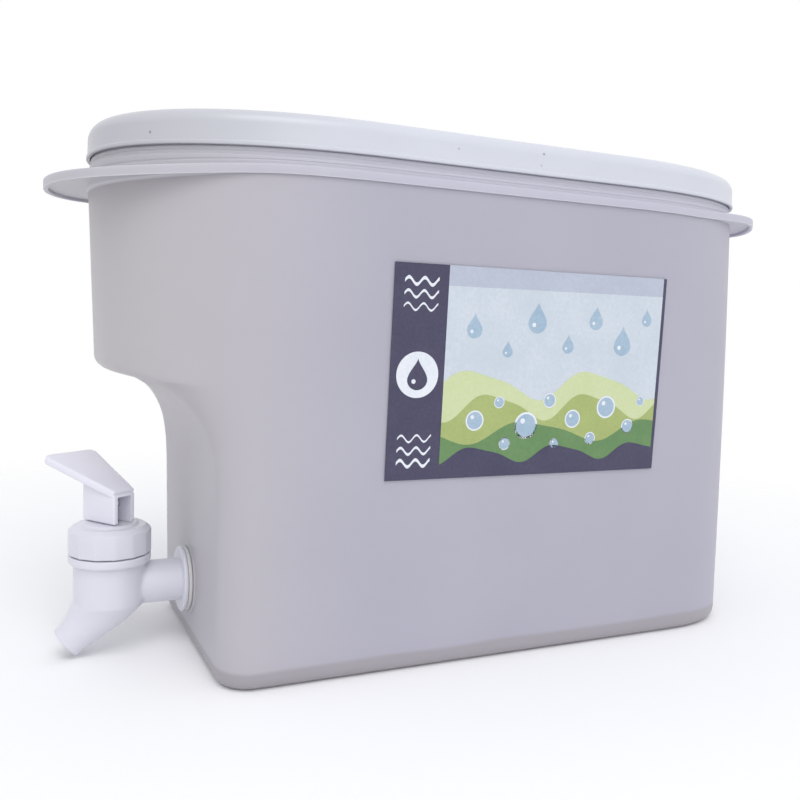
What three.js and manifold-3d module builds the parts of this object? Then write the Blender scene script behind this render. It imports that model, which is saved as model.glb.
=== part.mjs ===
// Fridge water jug with a push tap: one named mesh for each piece, in millimetres, +Z up.
// The tap is at -X, the long sides face -Y and +Y, and the foot stands on z = 0.
import * as THREE from "three";
import { mergeVertices } from "three/addons/utils/BufferGeometryUtils.js";
import Module from "manifold-3d";

const wasm = await Module();
wasm.setup();

// Lid outline: two straight long sides, closed at each end by a cap with a squareness of its own
const lidPlan = { halfLength: 127.9, halfWidth: 57.9, cap: 82.3, squareness: 2.21 };

// Foot: its outline lies inside the lid's by the draft of the ends and of the sides
const foot = { endDraft: 6.9, sideDraft: 7.4, cap: 44, squareness: 3.06, round: 4.5, rim: 7, recess: 1 };

// Tank: walls and floor
const wallSetback = 0.6; // the wall at the collar lies this far inside the lid's outline
const wall = 2.2;
const floorThickness = 2.2;
const floorRound = 4;

// Tank: the step at the tap end, a flat wall set back from the foot's end and from the collar's end
const tapWall = { footDepth: 27.5, highDepth: 32.6, cornerRadius: 11, leastShare: 0.25 };
const notch = { top: 95, fillet: 25, edgeRound: 5.5 };

// Tank: flange with its two grip ears, collar and rim
const flange = { bottom: 157.4, height: 2.8, plate: 1.8, lip: 1.6, proud: 0.8, edge: 0.6 };
const ear = { reach: 13.1, rootBack: 43.3, rootRun: 26, tipHalfWidth: 38 };
const earBend = { back: 53.3, tapEndDrop: 3.2, farEndRise: 1 }; // the ears don't stand quite level
const collar = { lowerHeight: 2.2, upperHeight: 2.3, lowerInset: 0.3, upperInset: 0.7 };

// Lid: skirt over the rim, plug ring inside it
const lidSize = { height: 10.8, plate: 1.8, skirt: 1.3, fillet: 4.4 };
const lidBead = { height: 1.2, inset: 0.35, draft: 0.15 };
const plug = { rise: 3, wall: 1.4 };

// Fits: the gap between pieces that touch, and between pieces that slide past each other
const seatGap = 0.3;
const rimClearance = 0.3;
const plugClearance = 0.4;
const overrun = 2;

// Label on the near long side, hung from the flange
const label = { left: -43.3, right: 64, drop: 23.4, height: 69, gap: 0.25, thickness: 0.3 };

// Tap body: the pad that it stands on, its cup, shank and spout, with heights taken from the shank's axis
const tapPad = { radius: 12.2, proud: 0.75, thickness: 3.05 };
const tapReach = 26.05; // from the pad's face to the tap's axis
const shank = { height: 23.5, radius: 7.3, boreRadius: 4.75, stubRadius: 7.7, stubPast: 2.6 };
const shankFlange = { radius: 11.2, thickness: 1.4, round: 0.4 };
const chamber = { radius: 9, seatDrop: 5.9, seatRadius: 4.5 };
const cup = { wall: 2.75, drop: 5.45, ringRise: 7.5, ringTaper: 1.4, ringHeight: 2.3, ringProud: 2.3 };
const neck = { wall: 2.1, height: 5.3 };
const spout = { reach: 14.15, drop: 13.3, wall: 1.35, boreRadius: 4.35, fall: 40 };

// Shank fastening: washers on both faces of the tank wall and a flanged hexagon nut inside
const shankClearance = 0.3;
const outerWasher = { radius: 11, thickness: 0.9 };
const innerWasher = { radius: 12, thickness: 1.5 };
const lockNut = { flangeRadius: 14, flangeThickness: 1.6, acrossFlats: 23, height: 7 };

// Bonnet nut: a ring round the neck, a shoulder, a raised crown and a pocket for the spring
const bonnet = { wall: 2.1, ringGap: 0.4, pocketDepth: 1.2, topPlate: 2, pocketRadius: 6.6, stemGap: 0.4 };
const shoulder = { drop: 2.9, inset: 2.1, crownRadius: 8.6, crownDraft: 0.9 };

// Seat cup, stem and return spring, one inside the other
const seatCup = { rimThickness: 1.5, chamberGap: 1.4, wall: 1.3, floorThickness: 3.6 };
const seatCupTip = { inset: 2, taper: 2 };
const seatNose = { sideGap: 0.6, length: 1.2 };
const stem = { radius: 2.6, footGap: 1.1, footThickness: 2, pivotRise: 6.2, trunnionRadius: 1.3 };
const spring = { wireRadius: 0.45, turns: 6, coilRadius: 4.1 };

// Lever: column with a channel for the stem, and a paddle that widens to its tip
const swivelDegrees = 125.2; // the lever stands turned as it was photographed
const column = { front: 8.3, rear: 6.9, cheekWall: 0.55, heelRound: 1.2, edgeRound: 0.5 };
const paddle = { reach: 20.6, rootRise: 5.3, tipRise: 10.3, tipHalfWidth: 11, thickness: 2.8, corner: 2.6 };
const channel = { frontWall: 2, crown: 0.6, sideGap: 0.3, socketDepth: 1 };
const trunnionGap = 0.25;

// Faces on the round shapes
const CAP_STEPS = 15;
const SAMPLE_STEPS = 240;
const FILLET_STEPS = 6;
const ROUND_STEPS = 4;
const TURN_STEPS = 28;
const SPOUT_STEPS = 5;
const SPRING_STEPS = 8;
const WIRE_SIDES = 5;

const materials = {
  tank: [0xc6c4cf, 0.55],
  lid: [0xdfe2e8, 0.4],
  tap: [0xe6e5ee, 0.35],
  silicone: [0xdcdcd8, 0.6],
  label: [0x4a4763, 0.3],
  steel: [0xb8bcc2, 0.3],
};

function material(slot) {
  const [color, roughness] = materials[slot];
  const metalness = slot === "steel" ? 1 : 0;
  return new THREE.MeshStandardMaterial({ color, roughness, metalness, flatShading: true });
}

// Closed solids: shared vertices merged, collapsed faces dropped and the faces turned outwards
function solidFrom(geometry) {
  const bare = geometry.clone();
  bare.deleteAttribute("normal");
  bare.deleteAttribute("uv");
  const merged = mergeVertices(bare);
  const { array } = merged.getAttribute("position");
  const corners = [];
  let volume = 0;
  const at = [new THREE.Vector3(), new THREE.Vector3(), new THREE.Vector3()];
  for (let i = 0; i < merged.index.count; i += 3) {
    const face = [0, 1, 2].map((k) => merged.index.getX(i + k));
    if (new Set(face).size < face.length) continue;
    face.forEach((vertex, k) => at[k].fromArray(array, vertex * 3));
    volume += at[0].dot(at[1].cross(at[2]));
    corners.push(face);
  }
  const triVerts = new Uint32Array(corners.flatMap((face) => (volume < 0 ? face.reverse() : face)));
  const vertProperties = new Float32Array(array);
  return new wasm.Manifold(new wasm.Mesh({ numProp: 3, vertProperties, triVerts }));
}

function meshFrom(name, solid, slot) {
  const { vertProperties, triVerts } = solid.getMesh();
  const geometry = new THREE.BufferGeometry();
  geometry.setAttribute("position", new THREE.BufferAttribute(vertProperties, 3));
  geometry.setIndex(new THREE.BufferAttribute(triVerts, 1));
  geometry.computeVertexNormals();
  const mesh = new THREE.Mesh(geometry, material(slot));
  mesh.name = name;
  return mesh;
}

// A closed skin over rings of points, from the lowest ring to the highest, capped at both ends
function loft(rings) {
  const count = rings[0].length;
  const middles = [rings[0], rings[rings.length - 1]].map((ring) => {
    const sum = ring.reduce((total, p) => total.add(p), new THREE.Vector3());
    return sum.divideScalar(count);
  });
  const points = [...rings.flat(), ...middles];
  const faces = [];
  for (let r = 0; r + 1 < rings.length; r += 1) {
    for (let i = 0; i < count; i += 1) {
      const [a, b] = [r * count + i, r * count + ((i + 1) % count)];
      faces.push(a, b, b + count, a, b + count, a + count);
    }
  }
  const last = (rings.length - 1) * count;
  for (let i = 0; i < count; i += 1) {
    const next = (i + 1) % count;
    faces.push(next, i, points.length - 2);
    faces.push(last + i, last + next, points.length - 1);
  }
  const geometry = new THREE.BufferGeometry().setFromPoints(points);
  geometry.setIndex(faces);
  return solidFrom(geometry);
}

// A profile of [radius, height] pairs turned about the Z axis
function turned(profile, steps = TURN_STEPS) {
  const points = profile.map(([radius, height]) => new THREE.Vector2(radius, height));
  return solidFrom(new THREE.LatheGeometry(points, steps).rotateX(Math.PI / 2));
}

// The same, turned about the shank's axis, with heights read along +X from the tap's axis
function turnedAlongShank(profile, steps = TURN_STEPS) {
  const points = profile.map(([radius, reach]) => new THREE.Vector2(radius, reach));
  const geometry = new THREE.LatheGeometry(points, steps).rotateZ(-Math.PI / 2);
  return solidFrom(geometry.translate(0, 0, shank.height));
}

// A closed profile for a ring between two radii and two heights
function ringProfile(inner, outer, low, high) {
  return [
    [inner, low],
    [outer, low],
    [outer, high],
    [inner, high],
    [inner, low],
  ];
}

function rodProfile(radius, low, high) {
  return [
    [0, low],
    [radius, low],
    [radius, high],
    [0, high],
  ];
}

function block(low, high) {
  const size = new THREE.Vector3().subVectors(high, low);
  const middle = new THREE.Vector3().addVectors(low, high).multiplyScalar(1 / 2);
  return solidFrom(new THREE.BoxGeometry(size.x, size.y, size.z).translate(middle.x, middle.y, middle.z));
}

function mix(from, to, share) {
  return from + (to - from) * share;
}

function quarterTurns(steps) {
  return Array.from({ length: steps + 1 }, (_, k) => ((k / steps) * Math.PI) / 2);
}

function inwards(plan, inset) {
  return {
    halfLength: plan.halfLength - inset,
    halfWidth: plan.halfWidth - inset,
    cap: plan.cap - inset,
    squareness: plan.squareness,
  };
}

// Plan outlines of the collar and the foot
const topPlan = inwards(lidPlan, wallSetback);
const footPlan = {
  halfLength: lidPlan.halfLength - foot.endDraft,
  halfWidth: lidPlan.halfWidth - foot.sideDraft,
  cap: foot.cap,
  squareness: foot.squareness,
};

// Heights up the tank and the lid
const flangeTop = flange.bottom + flange.height;
const collarStep = flangeTop + collar.lowerHeight;
const collarTop = collarStep + collar.upperHeight;
const lidBottom = collarTop + seatGap;
const lidTop = lidBottom + lidSize.height;

function planAt(height) {
  const share = Math.min(height / flange.bottom, 1);
  const mixed = {};
  for (const key of Object.keys(footPlan)) mixed[key] = mix(footPlan[key], topPlan[key], share);
  return mixed;
}

function tapWallAt(height) {
  const atFoot = footPlan.halfLength - tapWall.footDepth;
  return mix(atFoot, topPlan.halfLength - tapWall.highDepth, height / notch.top);
}

// A quarter of a cap, from the end of the long side to the nose on the X axis
function capCurve(plan) {
  const start = plan.halfLength - plan.cap;
  const power = 2 / plan.squareness;
  return quarterTurns(SAMPLE_STEPS).map(
    (turn) =>
      new THREE.Vector2(
        start + plan.cap * Math.abs(Math.sin(turn)) ** power,
        plan.halfWidth * Math.abs(Math.cos(turn)) ** power,
      ),
  );
}

// The same quarter where the cap is cut off by the flat tap wall, with its corner rounded
function wallCurve(plan, wallAt, radius) {
  const side = capCurve(plan);
  const points = [side[0]];
  for (let i = 1; i + 1 < side.length; i += 1) {
    const along = side[i + 1].clone().sub(side[i - 1]).normalize();
    const centre = new THREE.Vector2(side[i].x + radius * along.y, side[i].y - radius * along.x);
    if (centre.x >= wallAt - radius) {
      const first = Math.atan2(side[i].y - centre.y, side[i].x - centre.x);
      for (const turn of quarterTurns(SAMPLE_STEPS / 4)) {
        const angle = first * (1 - turn / (Math.PI / 2));
        const [across, along] = [radius * Math.cos(angle), radius * Math.sin(angle)];
        points.push(new THREE.Vector2(wallAt - radius + across, centre.y + along));
      }
      break;
    }
    points.push(side[i]);
  }
  points.push(new THREE.Vector2(wallAt, 0));
  return points;
}

// Points spread along a curve, half by length and half by how far the curve has turned
function spread(curve, steps) {
  const lengths = [0];
  const turns = [0];
  for (let i = 1; i < curve.length; i += 1) {
    const step = curve[i].clone().sub(curve[i - 1]);
    const before = i > 1 ? curve[i - 1].clone().sub(curve[i - 2]) : step;
    const bend = Math.abs(before.cross(step)) / (before.length() * step.length() || 1);
    lengths.push(lengths[i - 1] + step.length());
    turns.push(turns[i - 1] + Math.asin(Math.min(bend, 1)));
  }
  const last = curve.length - 1;
  const marks = curve.map((_, i) => (lengths[i] / lengths[last] + turns[i] / turns[last]) / 2);
  const points = [curve[0].clone()];
  for (let k = 1, i = 1; k < steps; k += 1) {
    while (marks[i] < k / steps) i += 1;
    const share = (k / steps - marks[i - 1]) / (marks[i] - marks[i - 1]);
    points.push(curve[i - 1].clone().lerp(curve[i], share));
  }
  points.push(curve[last].clone());
  return points;
}

// A ring from its two end quarters, each mirrored over the X axis
function ringFrom(farQuarter, tapQuarter, height) {
  const far = farQuarter.map((p) => new THREE.Vector3(p.x, p.y, height));
  const near = tapQuarter.map((p) => new THREE.Vector3(-p.x, p.y, height));
  const flip = (points) => points.map((p) => new THREE.Vector3(p.x, -p.y, p.z));
  const farEnd = [...flip(far), ...far.slice(0, -1).reverse()];
  const tapEnd = [...near, ...flip(near.slice(0, -1)).reverse()];
  return [...farEnd, ...tapEnd];
}

function plainRing(plan, height) {
  const quarter = spread(capCurve(plan), CAP_STEPS);
  return ringFrom(quarter, quarter, height);
}

// The tank's ring: its tap end goes from the flat wall, at share 0, to the full cap, at share 1
function tankRing(height, inset, share) {
  const plan = inwards(planAt(height), inset);
  const cap = spread(capCurve(plan), CAP_STEPS);
  const radius = Math.max(tapWall.cornerRadius - inset, tapWall.cornerRadius * tapWall.leastShare);
  const flat = spread(wallCurve(plan, tapWallAt(height) - inset, radius), CAP_STEPS);
  const tapEnd = flat.map((p, i) => p.clone().lerp(cap[i], share));
  return ringFrom(cap, tapEnd, height);
}

// Rings up the step at the tap end: a hollow fillet, then the rounded lower edge of the overhang
function notchRings(inset) {
  const overhang = planAt(notch.top).halfLength - tapWallAt(notch.top);
  const hollow = notch.fillet + inset;
  const edge = notch.edgeRound - inset;
  const low = notch.top - notch.fillet;
  const high = notch.top + notch.edgeRound;
  return [
    ...quarterTurns(FILLET_STEPS).map((turn) => {
      const depth = hollow * (1 - Math.cos(turn));
      return tankRing(low + hollow * Math.sin(turn), inset, depth / overhang);
    }),
    ...quarterTurns(ROUND_STEPS).map((turn) => {
      const depth = overhang - edge * (1 - Math.sin(turn));
      return tankRing(high - edge * Math.cos(turn), inset, depth / overhang);
    }),
  ];
}

function roundedFloorRings(floor, round, inset) {
  return quarterTurns(ROUND_STEPS).map((turn) =>
    tankRing(floor + round * (1 - Math.cos(turn)), inset + round * (1 - Math.sin(turn)), 0),
  );
}

// Sizes that the lid and the tank's rim share
const rimInset = lidSize.skirt + rimClearance - wallSetback;
const filletLow = lidTop - lidSize.fillet;
const hollowRound = lidSize.fillet - lidSize.plate;
const rimTop = filletLow + Math.sqrt(hollowRound ** 2 - (hollowRound - rimClearance) ** 2) - seatGap;
const floorHeight = foot.recess + floorThickness;

function tankOutside() {
  const collarRing = (height, inset) => plainRing(inwards(topPlan, inset), height);
  return loft([
    ...roundedFloorRings(0, foot.round, 0),
    ...notchRings(0),
    collarRing(flange.bottom, 0),
    collarRing(flangeTop, 0),
    collarRing(flangeTop, collar.lowerInset),
    collarRing(collarStep, collar.lowerInset),
    collarRing(collarStep, collar.upperInset),
    collarRing(collarTop, collar.upperInset),
    collarRing(collarTop, rimInset),
    collarRing(rimTop, rimInset),
  ]);
}

function tankInside() {
  return loft([
    ...roundedFloorRings(floorHeight, floorRound, wall),
    ...notchRings(wall),
    plainRing(inwards(topPlan, wall), flange.bottom),
    plainRing(inwards(topPlan, wall), rimTop + overrun),
  ]);
}

// The flange's outline: it follows the wall and runs out into a grip ear at each end
function flangeOutline(inset) {
  const plan = inwards(topPlan, inset - flange.proud);
  const rootAt = topPlan.halfLength - ear.rootBack;
  const side = capCurve(plan).filter((p) => p.x < rootAt);
  const root = side[side.length - 1];
  const along = root.clone().sub(side[side.length - 2]).normalize();
  const tip = lidPlan.halfLength + ear.reach - inset;
  const curve = new THREE.CubicBezierCurve(
    root,
    root.clone().addScaledVector(along, ear.rootRun),
    new THREE.Vector2(tip, ear.tipHalfWidth - inset),
    new THREE.Vector2(tip, 0),
  );
  return spread([...side, ...curve.getPoints(SAMPLE_STEPS).slice(1)], CAP_STEPS);
}

// How far an ear has bent down, or up at the far end, at a place along the length
function bendAt(x) {
  const from = topPlan.halfLength - earBend.back;
  const share = THREE.MathUtils.smoothstep(Math.abs(x), from, lidPlan.halfLength + ear.reach);
  return share * (x < 0 ? -earBend.tapEndDrop : earBend.farEndRise);
}

function flangeRing(height, inset) {
  const quarter = flangeOutline(inset);
  return ringFrom(quarter, quarter, height).map((p) => p.setZ(p.z + bendAt(p.x)));
}

// Both ears with the flange between them: a thin plate whose edge turns down as a lip
function flangePlate() {
  const outside = loft([
    flangeRing(flange.bottom, 0),
    flangeRing(flangeTop - flange.edge, 0),
    flangeRing(flangeTop, flange.edge),
  ]);
  const hollow = loft([
    flangeRing(flange.bottom - overrun, flange.lip),
    flangeRing(flangeTop - flange.plate, flange.lip),
  ]);
  return outside.subtract(hollow);
}

// The tap's axis stands off the pad on the flat wall
const tapAxis = footPlan.halfLength - tapWall.footDepth + tapPad.proud + tapReach;

function tapPadSolid() {
  const disc = rodProfile(tapPad.radius, tapReach, tapReach + tapPad.thickness);
  return turnedAlongShank(disc).translate([-tapAxis, 0, 0]);
}

function tapHole() {
  const high = tapReach + tapPad.thickness + overrun;
  const profile = rodProfile(shank.stubRadius + shankClearance, tapReach - overrun, high);
  return turnedAlongShank(profile).translate([-tapAxis, 0, 0]);
}

function footHollow() {
  const inset = foot.round + foot.rim;
  return loft([tankRing(-overrun, inset, 0), tankRing(foot.recess, inset, 0)]);
}

function tank() {
  const shell = tankOutside().add(flangePlate()).subtract(tankInside());
  return meshFrom("tank", shell.add(tapPadSolid()).subtract(tapHole()).subtract(footHollow()), "tank");
}

function lid() {
  const lidRing = (height, inset) => plainRing(inwards(lidPlan, inset), height);
  const beadTop = lidBottom + lidBead.height;
  const sideInset = lidBead.inset + lidBead.draft;
  const outside = loft([
    lidRing(lidBottom, 0),
    lidRing(beadTop, 0),
    lidRing(beadTop, lidBead.inset),
    ...quarterTurns(ROUND_STEPS + 1).map((turn) => {
      const inset = sideInset + lidSize.fillet * (1 - Math.cos(turn));
      return lidRing(filletLow + lidSize.fillet * Math.sin(turn), inset);
    }),
  ]);
  const underside = lidTop - lidSize.plate;
  const hollow = loft([
    lidRing(lidBottom - overrun, lidSize.skirt),
    ...quarterTurns(ROUND_STEPS).map((turn) => {
      const inset = lidSize.skirt + hollowRound * (1 - Math.cos(turn));
      return lidRing(filletLow + hollowRound * Math.sin(turn), inset);
    }),
  ]);
  const plugInset = wallSetback + wall + plugClearance;
  const plugLow = lidBottom + plug.rise;
  const plugHigh = underside + lidSize.plate / 2;
  const plugOutside = loft([lidRing(plugLow, plugInset), lidRing(plugHigh, plugInset)]);
  const plugInside = loft([
    lidRing(plugLow - overrun, plugInset + plug.wall),
    lidRing(underside, plugInset + plug.wall),
  ]);
  return meshFrom("lid", outside.subtract(hollow).add(plugOutside.subtract(plugInside)), "lid");
}

// A thin film that follows the near long side
function labelFilm() {
  const top = flange.bottom - label.drop;
  const bottom = top - label.height;
  const skin = (inset) =>
    loft([
      tankRing(bottom - overrun, inset, 1),
      tankRing(mix(bottom, top, 1 / 2), inset, 1),
      tankRing(top + overrun, inset, 1),
    ]);
  const window = block(
    new THREE.Vector3(label.left, -lidPlan.halfWidth - overrun, bottom),
    new THREE.Vector3(label.right, 0, top),
  );
  const film = skin(-label.gap - label.thickness).subtract(skin(-label.gap));
  return meshFrom("label", film.intersect(window), "label");
}

// Sizes of the tap body that its other pieces share
const cupRadius = chamber.radius + cup.wall;
const cupBottom = shank.height - cup.drop;
const neckRadius = chamber.radius + neck.wall;
const ringLow = shank.height + cup.ringRise;
const ringTop = ringLow + cup.ringTaper + cup.ringHeight;
const neckTop = ringTop + neck.height;
const seatHeight = shank.height - chamber.seatDrop;

// Circles down the spout: they start level under the cup and end square to the spout's axis
function spoutRings(startRadius, endRadius, pastTip) {
  const fall = THREE.MathUtils.degToRad(spout.fall);
  const past = new THREE.Vector3(-Math.cos(fall), 0, -Math.sin(fall)).multiplyScalar(pastTip);
  const start = new THREE.Vector3(0, 0, cupBottom);
  const end = new THREE.Vector3(-spout.reach, 0, cupBottom - spout.drop).add(past);
  const rings = [];
  for (let k = 0; k <= SPOUT_STEPS; k += 1) {
    const share = k / SPOUT_STEPS;
    const tilt = (Math.PI / 2 - fall) * Math.sin((share * Math.PI) / 2);
    const radius = mix(startRadius, endRadius, Math.sin((share * Math.PI) / 2));
    const middle = start.clone().lerp(end, share);
    rings.push(
      Array.from({ length: TURN_STEPS }, (_, i) => {
        const turn = (i / TURN_STEPS) * 2 * Math.PI;
        const [across, along] = [radius * Math.cos(turn), radius * Math.sin(turn)];
        return new THREE.Vector3(across * Math.cos(tilt), along, -across * Math.sin(tilt)).add(middle);
      }),
    );
  }
  return rings;
}

function cupOutside() {
  const ringRadius = neckRadius + cup.ringProud;
  return turned([
    [0, cupBottom],
    [cupRadius, cupBottom],
    [cupRadius, ringLow],
    [ringRadius, ringLow + cup.ringTaper],
    [ringRadius, ringTop],
    [neckRadius, ringTop],
    [neckRadius, neckTop],
    [0, neckTop],
  ]);
}

// Places along the shank, measured from the tap's axis towards the tank
const outerWasherAt = tapReach - seatGap - outerWasher.thickness;
const shankFlangeAt = outerWasherAt - seatGap - shankFlange.thickness;
const innerWasherAt = tapReach + tapPad.thickness + seatGap;
const lockNutAt = innerWasherAt + innerWasher.thickness + seatGap;
const stubEnd = lockNutAt + lockNut.height + shank.stubPast;

function shankOutside() {
  const flangeEnd = shankFlangeAt + shankFlange.thickness;
  return turnedAlongShank([
    [0, 0],
    [shank.radius, 0],
    [shank.radius, shankFlangeAt],
    [shankFlange.radius - shankFlange.round, shankFlangeAt],
    [shankFlange.radius, shankFlangeAt + shankFlange.round],
    [shankFlange.radius, flangeEnd],
    [shank.stubRadius, flangeEnd],
    [shank.stubRadius, stubEnd],
    [0, stubEnd],
  ]);
}

function tapBody() {
  const spoutOutside = loft(spoutRings(cupRadius, spout.boreRadius + spout.wall, 0));
  const outside = cupOutside().add(spoutOutside).add(shankOutside());
  const hollow = turned(rodProfile(chamber.radius, seatHeight, neckTop + overrun));
  const bore = turnedAlongShank(rodProfile(shank.boreRadius, 0, stubEnd + overrun));
  const drop = turned(rodProfile(chamber.seatRadius, seatHeight - overrun, seatHeight + overrun));
  const spoutBore = loft(spoutRings(chamber.seatRadius, spout.boreRadius, overrun));
  const body = outside.subtract(hollow).subtract(bore).subtract(drop).subtract(spoutBore);
  return meshFrom("tap_body", body, "tap");
}

function washer(name, size, at) {
  const inner = shank.stubRadius + shankClearance;
  const profile = ringProfile(inner, size.radius, at, at + size.thickness);
  return meshFrom(name, turnedAlongShank(profile), "silicone");
}

function lockNutPiece() {
  const cornerRadius = lockNut.acrossFlats / 2 / Math.cos(Math.PI / 6);
  const flangeEnd = lockNutAt + lockNut.flangeThickness;
  const nutEnd = lockNutAt + lockNut.height;
  const disc = turnedAlongShank(rodProfile(lockNut.flangeRadius, lockNutAt, flangeEnd));
  const hexagon = turnedAlongShank(rodProfile(cornerRadius, lockNutAt, nutEnd), 6);
  const bore = rodProfile(shank.stubRadius + shankClearance, lockNutAt - overrun, nutEnd + overrun);
  return meshFrom("lock_nut", disc.add(hexagon).subtract(turnedAlongShank(bore)), "tap");
}

// Heights inside the bonnet nut, where the seat cup's rim is held
const cupRimLow = neckTop + seatGap;
const cupRimHigh = cupRimLow + seatCup.rimThickness;
const clampHeight = cupRimHigh + seatGap;
const springRoof = clampHeight + bonnet.pocketDepth;
const bonnetTop = springRoof + bonnet.topPlate;

function bonnetNut() {
  const inner = neckRadius + seatGap;
  const outer = inner + bonnet.wall;
  const bottom = ringTop + bonnet.ringGap;
  const shoulderHeight = bonnetTop - shoulder.drop;
  const boreRadius = stem.radius + bonnet.stemGap;
  const profile = [
    [inner, bottom],
    [outer, bottom],
    ...quarterTurns(ROUND_STEPS).map((turn) => [
      outer - shoulder.inset * (1 - Math.cos(turn)),
      shoulderHeight + shoulder.inset * Math.sin(turn),
    ]),
    [shoulder.crownRadius + shoulder.crownDraft, shoulderHeight + shoulder.inset],
    [shoulder.crownRadius, bonnetTop],
    [boreRadius, bonnetTop],
    [boreRadius, springRoof],
    [bonnet.pocketRadius, springRoof],
    [bonnet.pocketRadius, clampHeight],
    [inner, clampHeight],
    [inner, bottom],
  ];
  return meshFrom("bonnet_nut", turned(profile), "tap");
}

// The seat cup hangs by its rim and closes the seat with its conical floor
const cupFloor = seatHeight + seatGap;
const cupInside = cupFloor + seatCup.floorThickness;
const seatCupRadius = chamber.radius - seatCup.chamberGap;
const seatCupInner = seatCupRadius - seatCup.wall;

function seatCupPiece() {
  const noseRadius = chamber.seatRadius - seatNose.sideGap;
  return meshFrom(
    "seat_cup",
    turned([
      [0, cupFloor - seatNose.length],
      [noseRadius, cupFloor - seatNose.length],
      [noseRadius, cupFloor],
      [seatCupRadius - seatCupTip.inset, cupFloor],
      [seatCupRadius, cupFloor + seatCupTip.taper],
      [seatCupRadius, cupRimLow],
      [neckRadius, cupRimLow],
      [neckRadius, cupRimHigh],
      [seatCupInner, cupRimHigh],
      [seatCupInner, cupInside],
      [0, cupInside],
    ]),
    "silicone",
  );
}

const stemFoot = cupInside + seatGap;
const stemFootTop = stemFoot + stem.footThickness;
const pivotHeight = bonnetTop + stem.pivotRise;
const channelHalf = stem.radius + channel.sideGap;

function stemPiece() {
  const footRadius = seatCupInner - stem.footGap;
  const rod = turned([
    [0, stemFoot],
    [footRadius, stemFoot],
    [footRadius, stemFootTop],
    [stem.radius, stemFootTop],
    ...quarterTurns(ROUND_STEPS).map((turn) => [
      stem.radius * Math.cos(turn),
      pivotHeight + stem.radius * Math.sin(turn),
    ]),
  ]);
  const half = channelHalf + channel.socketDepth - trunnionGap;
  const radius = stem.trunnionRadius;
  const pin = new THREE.CylinderGeometry(radius, radius, 2 * half, TURN_STEPS / 2);
  return meshFrom("stem", rod.add(solidFrom(pin.translate(0, 0, pivotHeight))), "tap");
}

// Push spring between the stem's foot and the bonnet nut, with its last turns laid flat
function returnSpring() {
  const low = stemFootTop + seatGap + spring.wireRadius;
  const high = springRoof - seatGap - spring.wireRadius;
  const steps = spring.turns * SPRING_STEPS;
  const points = Array.from({ length: steps + 1 }, (_, k) => {
    const share = k / steps;
    const turn = share * spring.turns * 2 * Math.PI;
    const rise = THREE.MathUtils.smoothstep(share, 0, 1);
    const across = spring.coilRadius * Math.cos(turn);
    const along = spring.coilRadius * Math.sin(turn);
    return new THREE.Vector3(across, along, mix(low, high, mix(share, rise, 1 / 2)));
  });
  const wire = new THREE.Shape(
    Array.from({ length: WIRE_SIDES }, (_, i) => {
      const turn = (i / WIRE_SIDES) * 2 * Math.PI;
      return new THREE.Vector2(spring.wireRadius * Math.cos(turn), spring.wireRadius * Math.sin(turn));
    }),
  );
  const path = new THREE.CatmullRomCurve3(points);
  const coil = new THREE.ExtrudeGeometry(wire, { steps, extrudePath: path, bevelEnabled: false });
  return meshFrom("return_spring", solidFrom(coil), "steel");
}

// Side views of the lever are drawn with X towards the tip and Y up, then stood upright
function upright(outline, halfWidth, bevel) {
  const shape = new THREE.Shape(outline);
  const settings = {
    depth: 2 * (halfWidth - bevel),
    bevelEnabled: bevel > 0,
    bevelThickness: bevel,
    bevelSize: bevel,
    bevelOffset: -bevel,
    bevelSegments: 2,
  };
  const geometry = new THREE.ExtrudeGeometry(shape, settings).rotateX(Math.PI / 2);
  return solidFrom(geometry.translate(0, halfWidth - bevel, 0));
}

const leverFoot = bonnetTop + seatGap;
const columnHalf = channelHalf + channel.socketDepth + column.cheekWall;
const paddleRoot = pivotHeight + paddle.rootRise;
const paddleRun = paddle.reach + column.rear;
const paddleSlope = Math.atan2(paddle.tipRise, paddleRun);

function leverColumn() {
  const low = paddleRoot - paddle.thickness / 2;
  const under = (reach) => low + (reach + column.rear) * Math.tan(paddleSlope);
  const heel = quarterTurns(ROUND_STEPS).map(
    (turn) =>
      new THREE.Vector2(
        column.front - column.heelRound * (1 - Math.sin(turn)),
        leverFoot + column.heelRound * (1 - Math.cos(turn)),
      ),
  );
  const outline = [
    new THREE.Vector2(-column.rear, leverFoot),
    ...heel,
    new THREE.Vector2(column.front, under(column.front)),
    new THREE.Vector2(-column.rear, under(-column.rear)),
  ];
  return upright(outline, columnHalf, column.edgeRound);
}

function leverPaddle() {
  const length = paddleRun / Math.cos(paddleSlope);
  const { corner, tipHalfWidth } = paddle;
  const cornerHalf = mix(columnHalf, tipHalfWidth, 1 - corner / length);
  const shape = new THREE.Shape();
  shape.moveTo(0, -columnHalf);
  shape.lineTo(length - corner, -cornerHalf);
  shape.quadraticCurveTo(length, -tipHalfWidth, length, -tipHalfWidth + corner);
  shape.lineTo(length, tipHalfWidth - corner);
  shape.quadraticCurveTo(length, tipHalfWidth, length - corner, cornerHalf);
  shape.lineTo(0, columnHalf);
  const edge = column.edgeRound;
  const settings = {
    depth: paddle.thickness - 2 * edge,
    bevelThickness: edge,
    bevelSize: edge,
    bevelOffset: -edge,
    bevelSegments: 2,
    curveSegments: ROUND_STEPS,
  };
  const geometry = new THREE.ExtrudeGeometry(shape, settings).translate(0, 0, edge - paddle.thickness);
  return solidFrom(geometry.rotateY(-paddleSlope).translate(-column.rear, 0, paddleRoot));
}

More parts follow.
